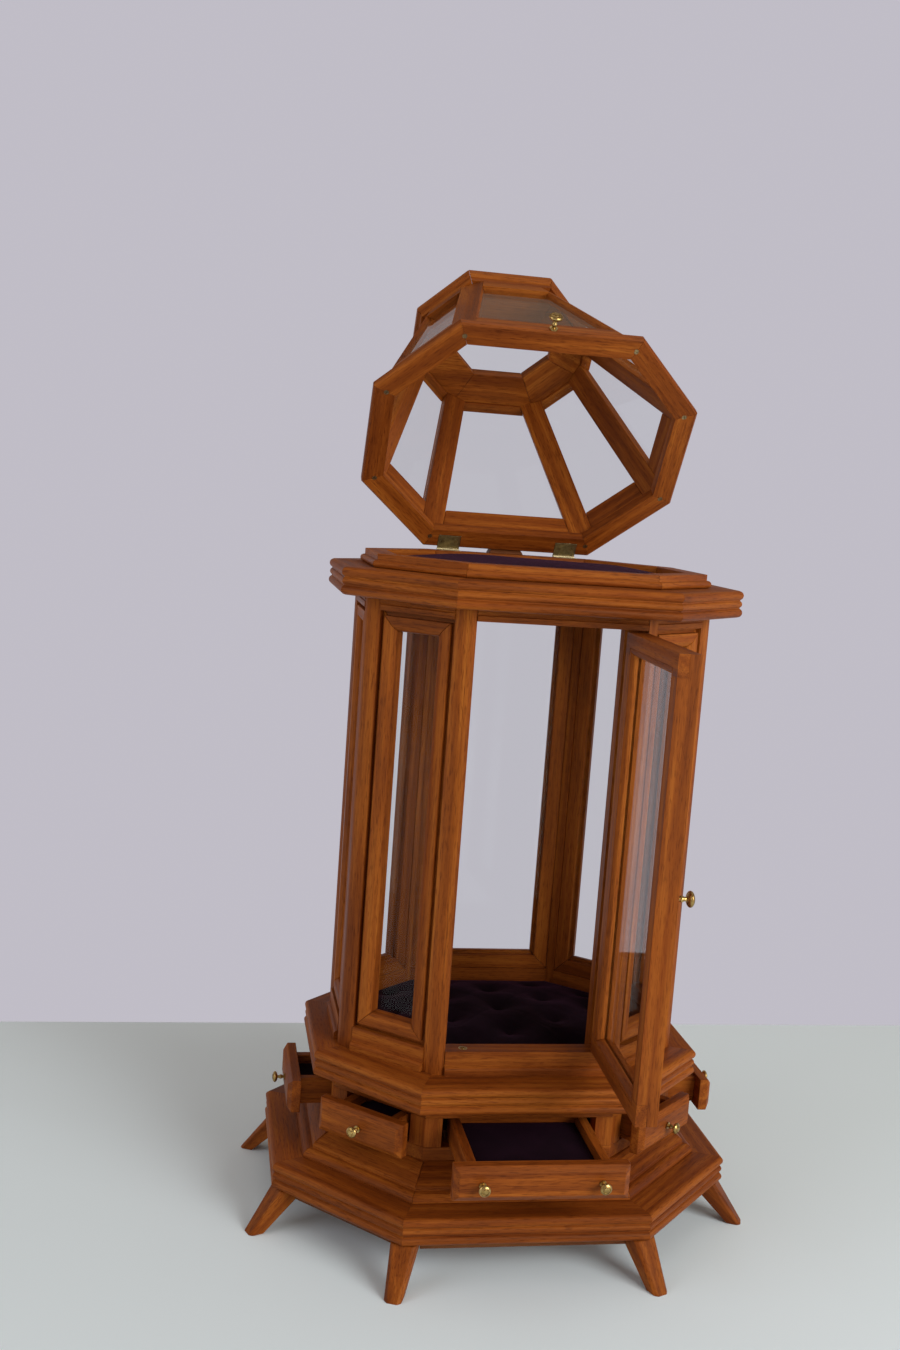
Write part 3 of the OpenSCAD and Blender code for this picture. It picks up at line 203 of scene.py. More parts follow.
def lay_grain(bm, mesh, seed):
    """Writes each board's own grain direction, as coordinates along, across and through it."""
    rng = np.random.default_rng(seed)
    bm.verts.ensure_lookup_table()
    bm.faces.index_update()
    count = len(bm.verts)
    places = np.empty((count, 3))
    tones = np.empty(count)
    seen = np.zeros(count, bool)
    for first in bm.verts:
        if seen[first.index]:
            continue
        seen[first.index] = True
        group, stack = [], [first]
        while stack:
            v = stack.pop()
            group.append(v)
            for e in v.link_edges:
                w = e.other_vert(v)
                if not seen[w.index]:
                    seen[w.index] = True
                    stack.append(w)
        longest = max((e for v in group for e in v.link_edges), key=lambda e: e.calc_length())
        along = (longest.verts[1].co - longest.verts[0].co).normalized()
        faces = sorted({f for v in group for f in v.link_faces}, key=lambda f: f.index)
        broad = max(faces, key=lambda f: round(f.calc_area() * (1 - abs(f.normal.dot(along))), 9))
        through = (broad.normal - along * broad.normal.dot(along)).normalized()
        across = through.cross(along)
        index = np.array([v.index for v in group])
        points = np.array([v.co for v in group])
        centre = points.mean(0)
        axes = np.array([along, across, through])
        shift = np.array([rng.uniform(0, 9), rng.uniform(-0.05, 0.05), rng.uniform(0.012, 0.05)])
        places[index] = (points - centre) @ axes.T + shift
        tones[index] = rng.uniform(0, 1)
    grain = mesh.attributes.new("grain", "FLOAT_VECTOR", "POINT")
    grain.data.foreach_set("vector", places.astype(np.float32).ravel())
    board = mesh.attributes.new("board", "FLOAT", "POINT")
    board.data.foreach_set("value", tones.astype(np.float32))


def boards(node, arris=0.0006, seed=1, material=cabinet_wood, slot="wood"):
    """The boards of one CAD node with softened arrises and grain along each."""
    bm = softened_copy(node, arris)
    mesh = bpy.data.meshes.new(node + "_boards")
    bm.to_mesh(mesh)
    lay_grain(bm, mesh, seed)
    bm.free()
    piece = shown(node + "_boards", mesh, material, body_of_node[node], slot, node)
    smoothed(piece)
    return piece


boards("feet", 0.0009, seed=11)


# ---- Under frame ------------------------------------------------------------
# Plain battens under the bottom plate, notched round the feet. They are of the
# same wood with painted shade: a darker copy of its colours, for parts that sit
# in shadow under the plate, inside the drawer case and behind the ring.

shaded_wood = oiled_wood("painted_shade_wood", (0.2, 0.075, 0.025), (0.13, 0.042, 0.014), (0.06, 0.018, 0.007),
                        (0.1, 0.028, 0.01))
boards("under_frame", 0.0004, seed=12, material=shaded_wood, slot="dark_wood")


# ---- Moulded plates ---------------------------------------------------------
# The bottom, middle and top plates. Each is eight mitred boards round a centre
# panel, with three beads run along the outer edge by a moulding plane.

plate_t = 0.024
bead_r = 0.0041
groove = 0.0025
quirk = 0.0002
mitre_gap = 0.00012
arc_steps = 12


def octagon(width, depth, front, side):
    w, d, f, s = width / 2, depth / 2, front / 2, side / 2
    return [Vector(p) for p in ((-f, -d), (f, -d), (w, -s), (w, s), (f, d), (-f, d), (-w, s), (-w, -s))]


def outward(points, i):
    along = (points[(i + 1) % 8] - points[i % 8]).normalized()
    return Vector((along.y, -along.x))


def grown(points, by):
    made = []
    for i in range(8):
        n, m = outward(points, i + 7), outward(points, i)
        made.append(points[i] + (n + m) * by / (1 + n.dot(m)))
    return made


def bead_profile(core):
    """The plate's section: how far out of the outline, and how high."""
    small_r = (plate_t - 4 * bead_r) / 2 - 2 * quirk
    end = bead_r + quirk
    outline = [(-core, 0), (-bead_r, 0)]
    for middle, radius in ((end, bead_r), (plate_t / 2, small_r), (plate_t - end, bead_r)):
        reach = math.acos(min(1, max(-1, (bead_r - groove) / radius)))
        for k in range(arc_steps + 1):
            a = -reach + 2 * reach * k / arc_steps
            outline.append((radius * math.cos(a) - bead_r, middle + radius * math.sin(a)))
    outline += [(-bead_r, plate_t), (-core, plate_t)]
    return outline


def mitred_boards(bm, points, section, base):
    """Eight boards with the given section round an outline, mitred at its corners."""
    for i in range(8):
        along = (points[(i + 1) % 8] - points[i]).normalized()
        ends = []
        for corner, way in ((i, 1), ((i + 1) % 8, -1)):
            ring = []
            for out, z in section:
                p = grown(points, out)[corner] + along * way * mitre_gap / 2
                ring.append(bm.verts.new((p.x, p.y, base + z)))
            ends.append(ring)
        a, b = ends
        count = len(section)
        for k in range(count):
            bm.faces.new((a[k], b[k], b[(k + 1) % count], a[(k + 1) % count]))
        bm.faces.new(list(reversed(b)))
        bm.faces.new(a)


def moulded_plate(node, points, board_w, seed):
    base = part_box(node)[0][2]
    bm = bmesh.new()
    mitred_boards(bm, points, bead_profile(board_w), base)
    centre = grown(points, -board_w - mitre_gap)
    low = [bm.verts.new((p.x, p.y, base)) for p in centre]
    high = [bm.verts.new((p.x, p.y, base + plate_t)) for p in centre]
    for k in range(8):
        bm.faces.new((low[k], low[(k + 1) % 8], high[(k + 1) % 8], high[k]))
    bm.faces.new(list(reversed(low)))
    bm.faces.new(high)
    bmesh.ops.recalc_face_normals(bm, faces=bm.faces)
    mesh = bpy.data.meshes.new(node + "_boards")
    bm.to_mesh(mesh)
    lay_grain(bm, mesh, seed)
    bm.free()
    piece = shown(node + "_boards", mesh, cabinet_wood, "cabinet", "wood", node)
    smoothed(piece, 50)


plate_line = octagon(0.360, 0.294, 0.190, 0.124)
moulded_plate("bottom_plate", grown(plate_line, 0.030), 0.070, seed=21)
moulded_plate("middle_plate", grown(plate_line, -0.002), 0.060, seed=22)
moulded_plate("top_plate", plate_line, 0.062, seed=23)


# ---- Plinth and drawer case -------------------------------------------------
# A mitred plinth with a rounded lip carries the case: a floor, eight corner
# posts and a ring of rails, with strips inside that guide the drawers.

boards("plinth", 0.0005, seed=31)
boards("case_floor", 0.0004, seed=32)
boards("case_posts", 0.0006, seed=33)
boards("case_top_rails", 0.0004, seed=34)
# The guides' darker wood is painted shade for the inside of the case.
boards("drawer_guides", 0.0003, seed=35, material=shaded_wood, slot="dark_wood")


# ---- Velvet -----------------------------------------------------------------
# Deep purple cotton velvet over thin padding, glued into each drawer.

def pile_velvet(name):
    mat, tree, skin = plain_material(name)
    place = shader_node(tree, "ShaderNodeTexCoord").outputs["Object"]
    brushed = shader_node(tree, "ShaderNodeTexNoise", Scale=38, Detail=3, Roughness=0.55, Distortion=0.8)
    pile = shader_node(tree, "ShaderNodeTexNoise", Scale=1900, Detail=2, Roughness=0.6)
    link(tree, place, brushed.inputs["Vector"])
    link(tree, place, pile.inputs["Vector"])
    nap = sum_of(tree, (brushed.outputs["Fac"], 0.7), (pile.outputs["Fac"], 0.3))
    colour = ramp(tree, nap, [(0.35, (0.0025, 0.0006, 0.0022)), (0.7, (0.009, 0.0022, 0.007))])
    link(tree, colour, skin.inputs["Base Color"])
    skin.inputs["Roughness"].default_value = 0.95
    skin.inputs["Specular IOR Level"].default_value = 0.1
    skin.inputs["Sheen Weight"].default_value = 0.12
    skin.inputs["Sheen Roughness"].default_value = 0.4
    skin.inputs["Sheen Tint"].default_value = (0.3, 0.08, 0.22, 1)
    bump = shader_node(tree, "ShaderNodeBump", Strength=0.4, Distance=0.0006)
    link(tree, pile.outputs["Fac"], bump.inputs["Height"])
    link(tree, bump.outputs["Normal"], skin.inputs["Normal"])
    return mat


velvet = pile_velvet("purple_velvet")


def reach_of(points, angle):
    """How far a ray from the middle of a convex outline goes."""
    way = Vector((math.cos(angle), math.sin(angle)))
    best = None
    for k, p in enumerate(points):
        along = points[(k + 1) % len(points)] - p
        n = Vector((along.y, -along.x)).normalized()
        facing = n.dot(way)
        if facing > 0.001:
            reach = n.dot(p) / facing
            best = reach if best is None else min(best, reach)
    return best


def stuffed(reach, middle, base, edge_h, crown_h, belly, turns, rings, hollow=None):
    """A closed pad: a flat underside, drawn-in sides and a crowned top, about a middle point."""
    profile = [(-belly, 0), (-belly * 0.35, edge_h * 0.2), (0, edge_h * 0.5), (-belly * 0.25, edge_h * 0.8),
               (-belly * 0.9, edge_h)]
    mesh = bpy.data.meshes.new("pad")
    reaches = [reach(2 * math.pi * k / turns) for k in range(turns)]
    verts = [(middle[0], middle[1], base)]
    for out, z in profile:
        for k in range(turns):
            a = 2 * math.pi * k / turns
            r = reaches[k] + out
            verts.append((middle[0] + r * math.cos(a), middle[1] + r * math.sin(a), base + z))
    for j in range(1, rings):
        share = 1 - j / rings
        for k in range(turns):
            a = 2 * math.pi * k / turns
            r = (reaches[k] - belly * 0.9) * share
            x, y = middle[0] + r * math.cos(a), middle[1] + r * math.sin(a)
            rise = (crown_h - edge_h) * (1 - share ** 3)
            drop = hollow(x, y) * (1 - share ** 8) if hollow else 0
            verts.append((x, y, base + edge_h + rise - drop))
    drop = hollow(middle[0], middle[1]) if hollow else 0
    verts.append((middle[0], middle[1], base + crown_h - drop))
    rows = len(profile) + rings - 1
    faces = [(0, 1 + (k + 1) % turns, 1 + k) for k in range(turns)]
    for j in range(rows - 1):
        for k in range(turns):
            a, b = 1 + j * turns + k, 1 + j * turns + (k + 1) % turns
            faces.append((a, b, b + turns, a + turns))
    top = len(verts) - 1
    last = 1 + (rows - 1) * turns
    faces += [(last + k, last + (k + 1) % turns, top) for k in range(turns)]
    mesh.from_pydata(verts, [], faces)
    mesh.polygons.foreach_set("use_smooth", [True] * len(mesh.polygons))
    return mesh


def outline_of(node):
    """The convex outline of a CAD node seen from above."""
    points = sorted({(round(v.co.x, 5), round(v.co.y, 5)) for v in frame["nodes"][node].data.vertices})

    def half(way):
        kept = []
        for p in way:
            while len(kept) > 1 and ((kept[-1][0] - kept[-2][0]) * (p[1] - kept[-2][1])
                                     - (kept[-1][1] - kept[-2][1]) * (p[0] - kept[-2][0])) <= 1e-12:
                kept.pop()
            kept.append(p)
        return kept[:-1]

    return [Vector(p) for p in half(points) + half(points[::-1])]


# ---- Drawers ----------------------------------------------------------------
# Eight drawers, each a bevelled front glued to a thin box with a velvet pad.
# The front and back ones are wide, and the corner ones have clipped rear corners.

edge_share = 0.86
sides = ["front", "front_right", "right", "back_right", "back", "back_left", "left", "front_left"]
for number, side in enumerate(sides):
    boards(side + "_drawer", 0.0007, seed=41 + number)
    node = side + "_drawer_pad"
    line = outline_of(node)
    middle = sum(line, Vector((0, 0))) / len(line)
    local = [p - middle for p in line]
    low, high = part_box(node)
    height = high[2] - low[2]
    pad = stuffed(lambda a: reach_of(local, a), middle, low[2], edge_h=height * edge_share, crown_h=height,
                  belly=0.0007, turns=72, rings=14)
    piece = shown(side + "_drawer_velvet", pad, velvet, side + "_drawer", "velvet", node)


# ---- Glazed body ------------------------------------------------------------
# Eight fluted corner posts between the middle and top plates, with bottom and
# head rails between them. The hinge post stands behind the door's hinge side.

boards("corner_posts", 0.0006, seed=51)
boards("body_rails", 0.0006, seed=52)
boards("panel_frames", 0.0006, seed=53)


# ---- Glass ------------------------------------------------------------------
# Thin sheet glass, clean, with a faint green in its edges. It is puttied into
# the rebates of the seven fixed panels.

facing_power, grazing_share, facing_share = 4.5, 0.7, 0.008


def sheet_glass(name):
    mat = bpy.data.materials.new(name)
    mat.use_nodes = True
    tree = mat.node_tree
    tree.nodes.clear()
    clear = shader_node(tree, "ShaderNodeBsdfTransparent", Color=(0.975, 0.985, 0.98, 1))
    gloss = shader_node(tree, "ShaderNodeBsdfGlossy", Color=(0.9, 0.92, 0.92, 1), Roughness=0.03)
    edge = shader_node(tree, "ShaderNodeLayerWeight", Blend=0.5)
    steep = shader_node(tree, "ShaderNodeMath", operation="POWER")
    link(tree, edge.outputs["Facing"], steep.inputs[0])
    steep.inputs[1].default_value = facing_power
    share = shader_node(tree, "ShaderNodeMath", operation="MULTIPLY_ADD")
    link(tree, steep.outputs[0], share.inputs[0])
    share.inputs[1].default_value = grazing_share
    share.inputs[2].default_value = facing_share
    mix = shader_node(tree, "ShaderNodeMixShader")
    out = shader_node(tree, "ShaderNodeOutputMaterial")
    link(tree, share.outputs[0], mix.inputs["Fac"])
    link(tree, clear.outputs[0], mix.inputs[1])
    link(tree, gloss.outputs[0], mix.inputs[2])
    link(tree, mix.outputs[0], out.inputs["Surface"])
    return mat


window_glass = sheet_glass("sheet_glass")


def finish_node(node, material):
    """Gives a CAD node that keeps its shape its own finish."""
    for slot in frame["nodes"][node].material_slots:
        slot.material = material


finish_node("side_panes", window_glass)


# ---- Floor cushion ----------------------------------------------------------
# A velvet cushion over wadding fills the body's floor. It is drawn down by rows
# of sewn tufts and is notched round the hinge post.

tuft_columns = 0.049
tuft_rows = 0.051
tuft_depth = 0.008
tuft_spread = 0.012
tuft_power = 1.35


def modelling_tree(name, sizes, material):
    """A Geometry Nodes tree that takes a geometry, some sizes and a material."""
    tree = bpy.data.node_groups.new(name, "GeometryNodeTree")
    kinds = [("Geometry", "Geometry")] + [(size, "Float") for size in sizes] + [(material, "Material")]
    for socket, kind in kinds:
        tree.interface.new_socket(socket, in_out="INPUT", socket_type="NodeSocket" + kind)
    tree.interface.new_socket("Geometry", in_out="OUTPUT", socket_type="NodeSocketGeometry")
    return tree, tree.nodes.new("NodeGroupInput"), tree.nodes.new("NodeGroupOutput")


def paint_and_end(tree, geometry, paint_socket, end):
    """Realises a tree's geometry, gives it its material and sends it out."""
    real = tree.nodes.new("GeometryNodeRealizeInstances")
    tree.links.new(geometry, real.inputs[0])
    paint = tree.nodes.new("GeometryNodeSetMaterial")
    tree.links.new(real.outputs[0], paint.inputs["Geometry"])
    tree.links.new(paint_socket, paint.inputs["Material"])
    tree.links.new(paint.outputs[0], end.inputs[0])


def tuft_tree():
    """Geometry Nodes: rows of tufts pull the top of a cushion down."""
    tree, start, end = modelling_tree("tufts", ("Column spacing", "Row spacing", "Depth", "Spread"), "Velvet")

    def maths(operation, a, b=None):
        made = tree.nodes.new("ShaderNodeMath")
        made.operation = operation
        for socket, value in zip(made.inputs, (a, b)):
            if isinstance(value, bpy.types.NodeSocket):
                tree.links.new(value, socket)
            elif value is not None:
                socket.default_value = value
        return made.outputs[0]

    def lattice(columns, rows):
        grid = tree.nodes.new("GeometryNodeMeshGrid")
        grid.inputs["Vertices X"].default_value = columns
        grid.inputs["Vertices Y"].default_value = rows
        width = maths("MULTIPLY", start.outputs["Column spacing"], 2.0 * (columns - 1))
        depth = maths("MULTIPLY", start.outputs["Row spacing"], float(rows - 1))
        tree.links.new(width, grid.inputs["Size X"])
        tree.links.new(depth, grid.inputs["Size Y"])
        return grid.outputs["Mesh"]

    join = tree.nodes.new("GeometryNodeJoinGeometry")
    tree.links.new(lattice(3, 3), join.inputs[0])
    tree.links.new(lattice(2, 4), join.inputs[0])
    place = tree.nodes.new("GeometryNodeInputPosition")
    split = tree.nodes.new("ShaderNodeSeparateXYZ")
    tree.links.new(place.outputs[0], split.inputs[0])
    flat = tree.nodes.new("ShaderNodeCombineXYZ")
    tree.links.new(split.outputs[0], flat.inputs[0])
    tree.links.new(split.outputs[1], flat.inputs[1])
    points = tree.nodes.new("GeometryNodeMeshToPoints")
    tree.links.new(join.outputs[0], points.inputs["Mesh"])
    near = tree.nodes.new("GeometryNodeProximity")
    near.target_element = "POINTS"
    tree.links.new(points.outputs[0], near.inputs[0])
    tree.links.new(flat.outputs[0], near.inputs["Sample Position"])
    ratio = maths("DIVIDE", near.outputs["Distance"], start.outputs["Spread"])
    fall = maths("EXPONENT", maths("MULTIPLY", maths("POWER", ratio, tuft_power), -1.0))
    fade = tree.nodes.new("GeometryNodeInputNamedAttribute")
    fade.data_type = "FLOAT"
    fade.inputs["Name"].default_value = "fade"
    drop = maths("MULTIPLY", maths("MULTIPLY", fall, start.outputs["Depth"]), fade.outputs["Attribute"])
    lower = tree.nodes.new("ShaderNodeCombineXYZ")
    tree.links.new(maths("MULTIPLY", drop, -1.0), lower.inputs[2])
    move = tree.nodes.new("GeometryNodeSetPosition")
    tree.links.new(start.outputs["Geometry"], move.inputs["Geometry"])
    tree.links.new(lower.outputs[0], move.inputs["Offset"])
    paint_and_end(tree, move.outputs[0], start.outputs["Velvet"], end)
    return tree


def worked(mesh, tree, **values):
    """Runs a Geometry Nodes tree on a mesh and returns the plain mesh that it makes."""
    carrier = bpy.data.objects.new("carrier", mesh)
    bpy.context.scene.collection.objects.link(carrier)
    modifier = carrier.modifiers.new("tree", "NODES")
    modifier.node_group = tree
    for item in tree.interface.items_tree:
        if item.item_type == "SOCKET" and item.in_out == "INPUT" and item.name in values:
            modifier[item.identifier] = values[item.name]
    made = bpy.data.meshes.new_from_object(carrier.evaluated_get(bpy.context.evaluated_depsgraph_get()))
    carrier.modifiers.clear()
    bpy.data.objects.remove(carrier)
    return made


body_line = octagon(0.312, 0.230, 0.155, 0.100)
cushion_line = grown(body_line, -0.0193)
post_left, post_back = 0.0610, -0.0828


def cushion_reach(angle):
    reach = reach_of(cushion_line, angle)
    c, s = math.cos(angle), math.sin(angle)
    if s < 0 and c > 0:
        down = post_back / s
        if down < reach and down * c >= post_left:
            return down
        right = post_left / c
        if right < reach and right * s <= post_back:
            return right
    return reach


def puckers(x, y):
    """Small folds that run from tuft to tuft, and the wadding's lumps."""
    lumps = 0.0007 * math.sin(71 * x + 3 * math.sin(40 * y)) * math.sin(63 * y + 1.3)
    folds = 0.0
    for way in (1, -1):
        across = x / tuft_columns + way * y / tuft_rows
        folds += math.exp(-((across - round(across)) / 0.07) ** 2)
    return lumps + 0.0003 * min(folds, 1.2)


cushion_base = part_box("floor_cushion")[0][2]
cushion_edge_h = 0.009
cushion_mesh = stuffed(cushion_reach, (0, 0), cushion_base, cushion_edge_h, crown_h=0.021, belly=0.0022,
                       turns=260, rings=70, hollow=puckers)
fade = cushion_mesh.attributes.new("fade", "FLOAT", "POINT")
fades = []
for v in cushion_mesh.vertices:
    r = math.hypot(v.co.x, v.co.y)
    edge = cushion_reach(math.atan2(v.co.y, v.co.x))
    high = v.co.z > cushion_base + cushion_edge_h - 0.0002
    fades.append(max(0.0, 1 - (r / edge) ** 10) if high else 0.0)
fade.data.foreach_set("value", fades)
cushion_mesh = worked(cushion_mesh, tuft_tree(), **{
    "Column spacing": tuft_columns, "Row spacing": tuft_rows, "Depth": tuft_depth, "Spread": tuft_spread,
    "Velvet": velvet})
cushion = shown("tufted_cushion", cushion_mesh, velvet, "cabinet", "velvet", "floor_cushion")


# ---- Ring and its pad -------------------------------------------------------
# A stepped ring on the top plate, which the lid closes on, with a plump velvet
# pad inside it and a sloped block behind that the open lid leans on.

boards("top_ring", 0.0006, seed=61)
# The block's darker wood is painted shade, as it stands in the ring's shadow.
boards("lid_stop_block", 0.0008, seed=62, material=shaded_wood, slot="dark_wood")

ring_line = grown(plate_line, -0.027)
pad_line = grown(ring_line, -0.0233)


def pad_lumps(x, y):
    return 0.0008 * math.sin(46 * x + 1.1) * math.sin(52 * y + 0.4) + 0.0004 * math.sin(120 * x * y + 30 * x)


pad_mesh = stuffed(lambda a: reach_of(pad_line, a), (0, 0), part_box("top_pad")[0][2], edge_h=0.006,
                   crown_h=0.013, belly=0.0015, turns=160, rings=40, hollow=pad_lumps)
ring_pad = shown("ring_pad", pad_mesh, velvet, "cabinet", "velvet", "top_pad")


# ---- Door -------------------------------------------------------------------
# A frame of two stiles and two rails, half-lapped at the corners, with a
# moulded inner edge. Mitred beads hold its glass from inside.

boards("door_stiles", 0.0006, seed=71)
boards("door_rails", 0.0006, seed=72)
boards("door_beads", 0.0004, seed=73)
finish_node("door_pane", window_glass)


# ---- Lid --------------------------------------------------------------------
# Eight flat-faced ribs rise from a mitred ring to a smaller octagonal frame,
# with sloped rails between them, and glass in every face and in the top.

boards("lid_base_ring", 0.0006, seed=81)
boards("lid_rails", 0.0006, seed=82)
boards("lid_ribs", 0.0007, seed=83)
boards("lid_top_frame", 0.0007, seed=84)
finish_node("lid_side_panes", window_glass)
finish_node("lid_top_pane", window_glass)


# ---- Brass fittings ---------------------------------------------------------
# Turned knobs, butt hinges and the door's ball catch, all of plain brass that
# has dulled in the hollows.

def worn_brass(name, tone, dull, roughness):
    mat, tree, skin = plain_material(name)
    place = shader_node(tree, "ShaderNodeTexCoord").outputs["Object"]
    tarnish = shader_node(tree, "ShaderNodeTexNoise", Scale=170, Detail=4, Roughness=0.6)
    rubbed = shader_node(tree, "ShaderNodeTexNoise", Scale=900, Detail=2, Roughness=0.5)
    link(tree, place, tarnish.inputs["Vector"])
    link(tree, place, rubbed.inputs["Vector"])
    link(tree, ramp(tree, tarnish.outputs["Fac"], [(0.38, dull), (0.62, tone)]), skin.inputs["Base Color"])
    skin.inputs["Metallic"].default_value = 1
    gloss = sum_of(tree, (tarnish.outputs["Fac"], -0.3), (rubbed.outputs["Fac"], 0.2))
    add = shader_node(tree, "ShaderNodeMath", operation="ADD")
    link(tree, gloss, add.inputs[0])
    add.inputs[1].default_value = roughness
    link(tree, add.outputs[0], skin.inputs["Roughness"])
    bump = shader_node(tree, "ShaderNodeBump", Strength=0.15, Distance=0.0001)
    link(tree, rubbed.outputs["Fac"], bump.inputs["Height"])
    link(tree, bump.outputs["Normal"], skin.inputs["Normal"])
    return mat


knob_brass = worn_brass("turned_brass", (0.6, 0.41, 0.15), (0.3, 0.19, 0.06), 0.36)
hinge_brass = worn_brass("hinge_brass", (0.5, 0.42, 0.24), (0.26, 0.22, 0.13), 0.46)
screw_brass = worn_brass("screw_brass", (0.4, 0.3, 0.15), (0.16, 0.11, 0.06), 0.5)


def fitting(node, material, arris=0.0, angle=40):
    bm = softened_copy(node, arris, angle)
    mesh = bpy.data.meshes.new(node + "_metal")
    bm.to_mesh(mesh)
    bm.free()
    smoothed(shown(node + "_metal", mesh, material, body_of_node[node], "brass", node), angle)


for node in ["door_knob", "lid_knob"] + [
        side + ("_drawer_knobs" if side in ("front", "back") else "_drawer_knob") for side in sides]:
    fitting(node, knob_brass)
leaf_arris = 0.00012
for node in ("fixed_hinge_leaves", "door_hinge_leaves", "lid_hinge_leaves"):
    fitting(node, hinge_brass, leaf_arris)
fitting("catch_barrel", knob_brass)
fitting("catch_ball", knob_brass)


# ---- Screws -----------------------------------------------------------------
# Slotted brass screws: one up into each corner of the lid's ring, and two in
# each leaf of the lid's and the door's hinges.

def slotted_head(radius, height, slot):
    """A countersunk head with a slot across it, its face at z = 0."""
    bm = bmesh.new()
    count = 18
    floor_share, rim_share = 0.8, 0.96
    for way in (1, -1):
        start = math.asin(slot / 2 / radius)
        turns = [start + (math.pi - 2 * start) * k / count for k in range(count + 1)]
        rim = [(radius * math.cos(a), way * radius * math.sin(a)) for a in turns]
        high = [bm.verts.new((x, y, 0)) for x, y in rim]
        low = [bm.verts.new((x, y, -height)) for x, y in rim]
        bm.faces.new(high)
        bm.faces.new(list(reversed(low)))
        for k in range(count + 1):
            m = (k + 1) % (count + 1)
            bm.faces.new((high[k], low[k], low[m], high[m]))
    bmesh.ops.create_cone(bm, cap_ends=True, segments=24, radius1=radius * floor_share,
                          radius2=radius * rim_share, depth=height, matrix=Matrix.Translation((0, 0, -height)))
    bmesh.ops.recalc_face_normals(bm, faces=bm.faces)
    mesh = bpy.data.meshes.new("slotted_head")
    bm.to_mesh(mesh)
    bm.free()
    return mesh


def screw_tree(head):
    """Geometry Nodes: one screw head on each point, turned to face along its facing."""
    tree, start, end = modelling_tree("screws", ("Head size",), "Brass")
    facing = tree.nodes.new("GeometryNodeInputNamedAttribute")
    facing.data_type = "FLOAT_VECTOR"
    facing.inputs["Name"].default_value = "facing"
    turn = tree.nodes.new("FunctionNodeAlignRotationToVector")
    turn.axis = "Z"
    tree.links.new(facing.outputs["Attribute"], turn.inputs["Vector"])
    spin = tree.nodes.new("FunctionNodeRandomValue")
    spin.data_type = "FLOAT"
    spin.inputs["Max"].default_value = math.pi
    spin.inputs["Seed"].default_value = 5
    local = tree.nodes.new("FunctionNodeRotateRotation")
    local.rotation_space = "LOCAL"
    own = tree.nodes.new("ShaderNodeCombineXYZ")
    tree.links.new(next(s for s in spin.outputs if s.enabled), own.inputs[2])
    euler = tree.nodes.new("FunctionNodeEulerToRotation")
    tree.links.new(own.outputs[0], euler.inputs[0])
    tree.links.new(turn.outputs[0], local.inputs["Rotation"])
    tree.links.new(euler.outputs[0], local.inputs["Rotate By"])
    shape = tree.nodes.new("GeometryNodeObjectInfo")
    shape.inputs["Object"].default_value = head
    place = tree.nodes.new("GeometryNodeInstanceOnPoints")
    tree.links.new(start.outputs["Geometry"], place.inputs["Points"])
    tree.links.new(shape.outputs["Geometry"], place.inputs["Instance"])
    tree.links.new(local.outputs[0], place.inputs["Rotation"])
    tree.links.new(start.outputs["Head size"], place.inputs["Scale"])
    paint_and_end(tree, place.outputs[0], start.outputs["Brass"], end)
    return tree


head = bpy.data.objects.new("head", slotted_head(0.001, 0.0004, 0.00028))
bpy.context.scene.collection.objects.link(head)
screws = screw_tree(head)


def screw_group(name, body, size, places, *nodes):
    mesh = bpy.data.meshes.new(name)
    mesh.from_pydata([p for p, _ in places], [], [])
    facing = mesh.attributes.new("facing", "FLOAT_VECTOR", "POINT")
    facing.data.foreach_set("vector", [c for _, n in places for c in n])
    made = worked(mesh, screws, **{"Head size": size, "Brass": screw_brass})
    return shown(name, made, screw_brass, body, "brass", *nodes)


ring_head_size, hinge_head_size = 2.3, 1.7
hinge_y, hinge_z = 0.1224, 0.6023
lid_axis = Vector((0, hinge_y, hinge_z))
lid_turn = (Matrix.Translation(lid_axis) @ Matrix.Rotation(math.radians(-57), 4, "X")
            @ Matrix.Translation(-lid_axis))
lid_low, ring_head_stand = 0.6026, 0.0001
lid_screw_line = grown(ring_line, -0.012)
down = lid_turn.to_3x3() @ Vector((0, 0, -1))
screw_group("ring_screws", "lid", ring_head_size, [
    (lid_turn @ Vector((p.x, p.y, lid_low - ring_head_stand)), down) for p in lid_screw_line], "lid_screws")

leaf_face, head_stand = 0.000075, 0.00006
lid_leaf_x, lid_screw_step, lid_screw_in = 0.059, 0.0062, 0.0094
lid_places, ring_places = [], []
for side_x in (-lid_leaf_x, lid_leaf_x):
    for step in (-lid_screw_step, lid_screw_step):
        x, y = side_x + step, hinge_y - lid_screw_in
        lid_places.append((lid_turn @ Vector((x, y, hinge_z + leaf_face - head_stand)), down))
        ring_places.append((Vector((x, y, hinge_z - leaf_face + head_stand)), Vector((0, 0, 1))))
screw_group("lid_hinge_screws", "lid", hinge_head_size, lid_places)
screw_group("ring_hinge_screws", "cabinet", hinge_head_size, ring_places)

door_x, door_y = 0.0775, -0.1156
door_axis = Vector((door_x, door_y, 0))
door_turn = (Matrix.Translation(door_axis) @ Matrix.Rotation(math.radians(88), 4, "Z")
             @ Matrix.Translation(-door_axis))
door_low, door_high, hinge_share = 0.1826, 0.5529, 0.12
hinge_in = (door_high - door_low) * hinge_share
door_screw_step, door_screw_in = 0.0095, 0.0097
door_places, post_places = [], []
for height in (door_low + hinge_in, door_high - hinge_in):
    for step in (-door_screw_step, door_screw_step):
        y, z = door_y + door_screw_in, height + step
        door_places.append((door_turn @ Vector((door_x - leaf_face + head_stand, y, z)),
                            door_turn.to_3x3() @ Vector((1, 0, 0))))
        post_places.append((Vector((door_x + leaf_face - head_stand, y, z)), Vector((-1, 0, 0))))
screw_group("door_leaf_screws", "door", hinge_head_size, door_places)
screw_group("post_leaf_screws", "cabinet", hinge_head_size, post_places)
bpy.data.objects.remove(head)


# ---- Table and light --------------------------------------------------------
# A pale tabletop that ends behind the cabinet, a pale background, and soft
# window light from the front right with a weaker one from the left.

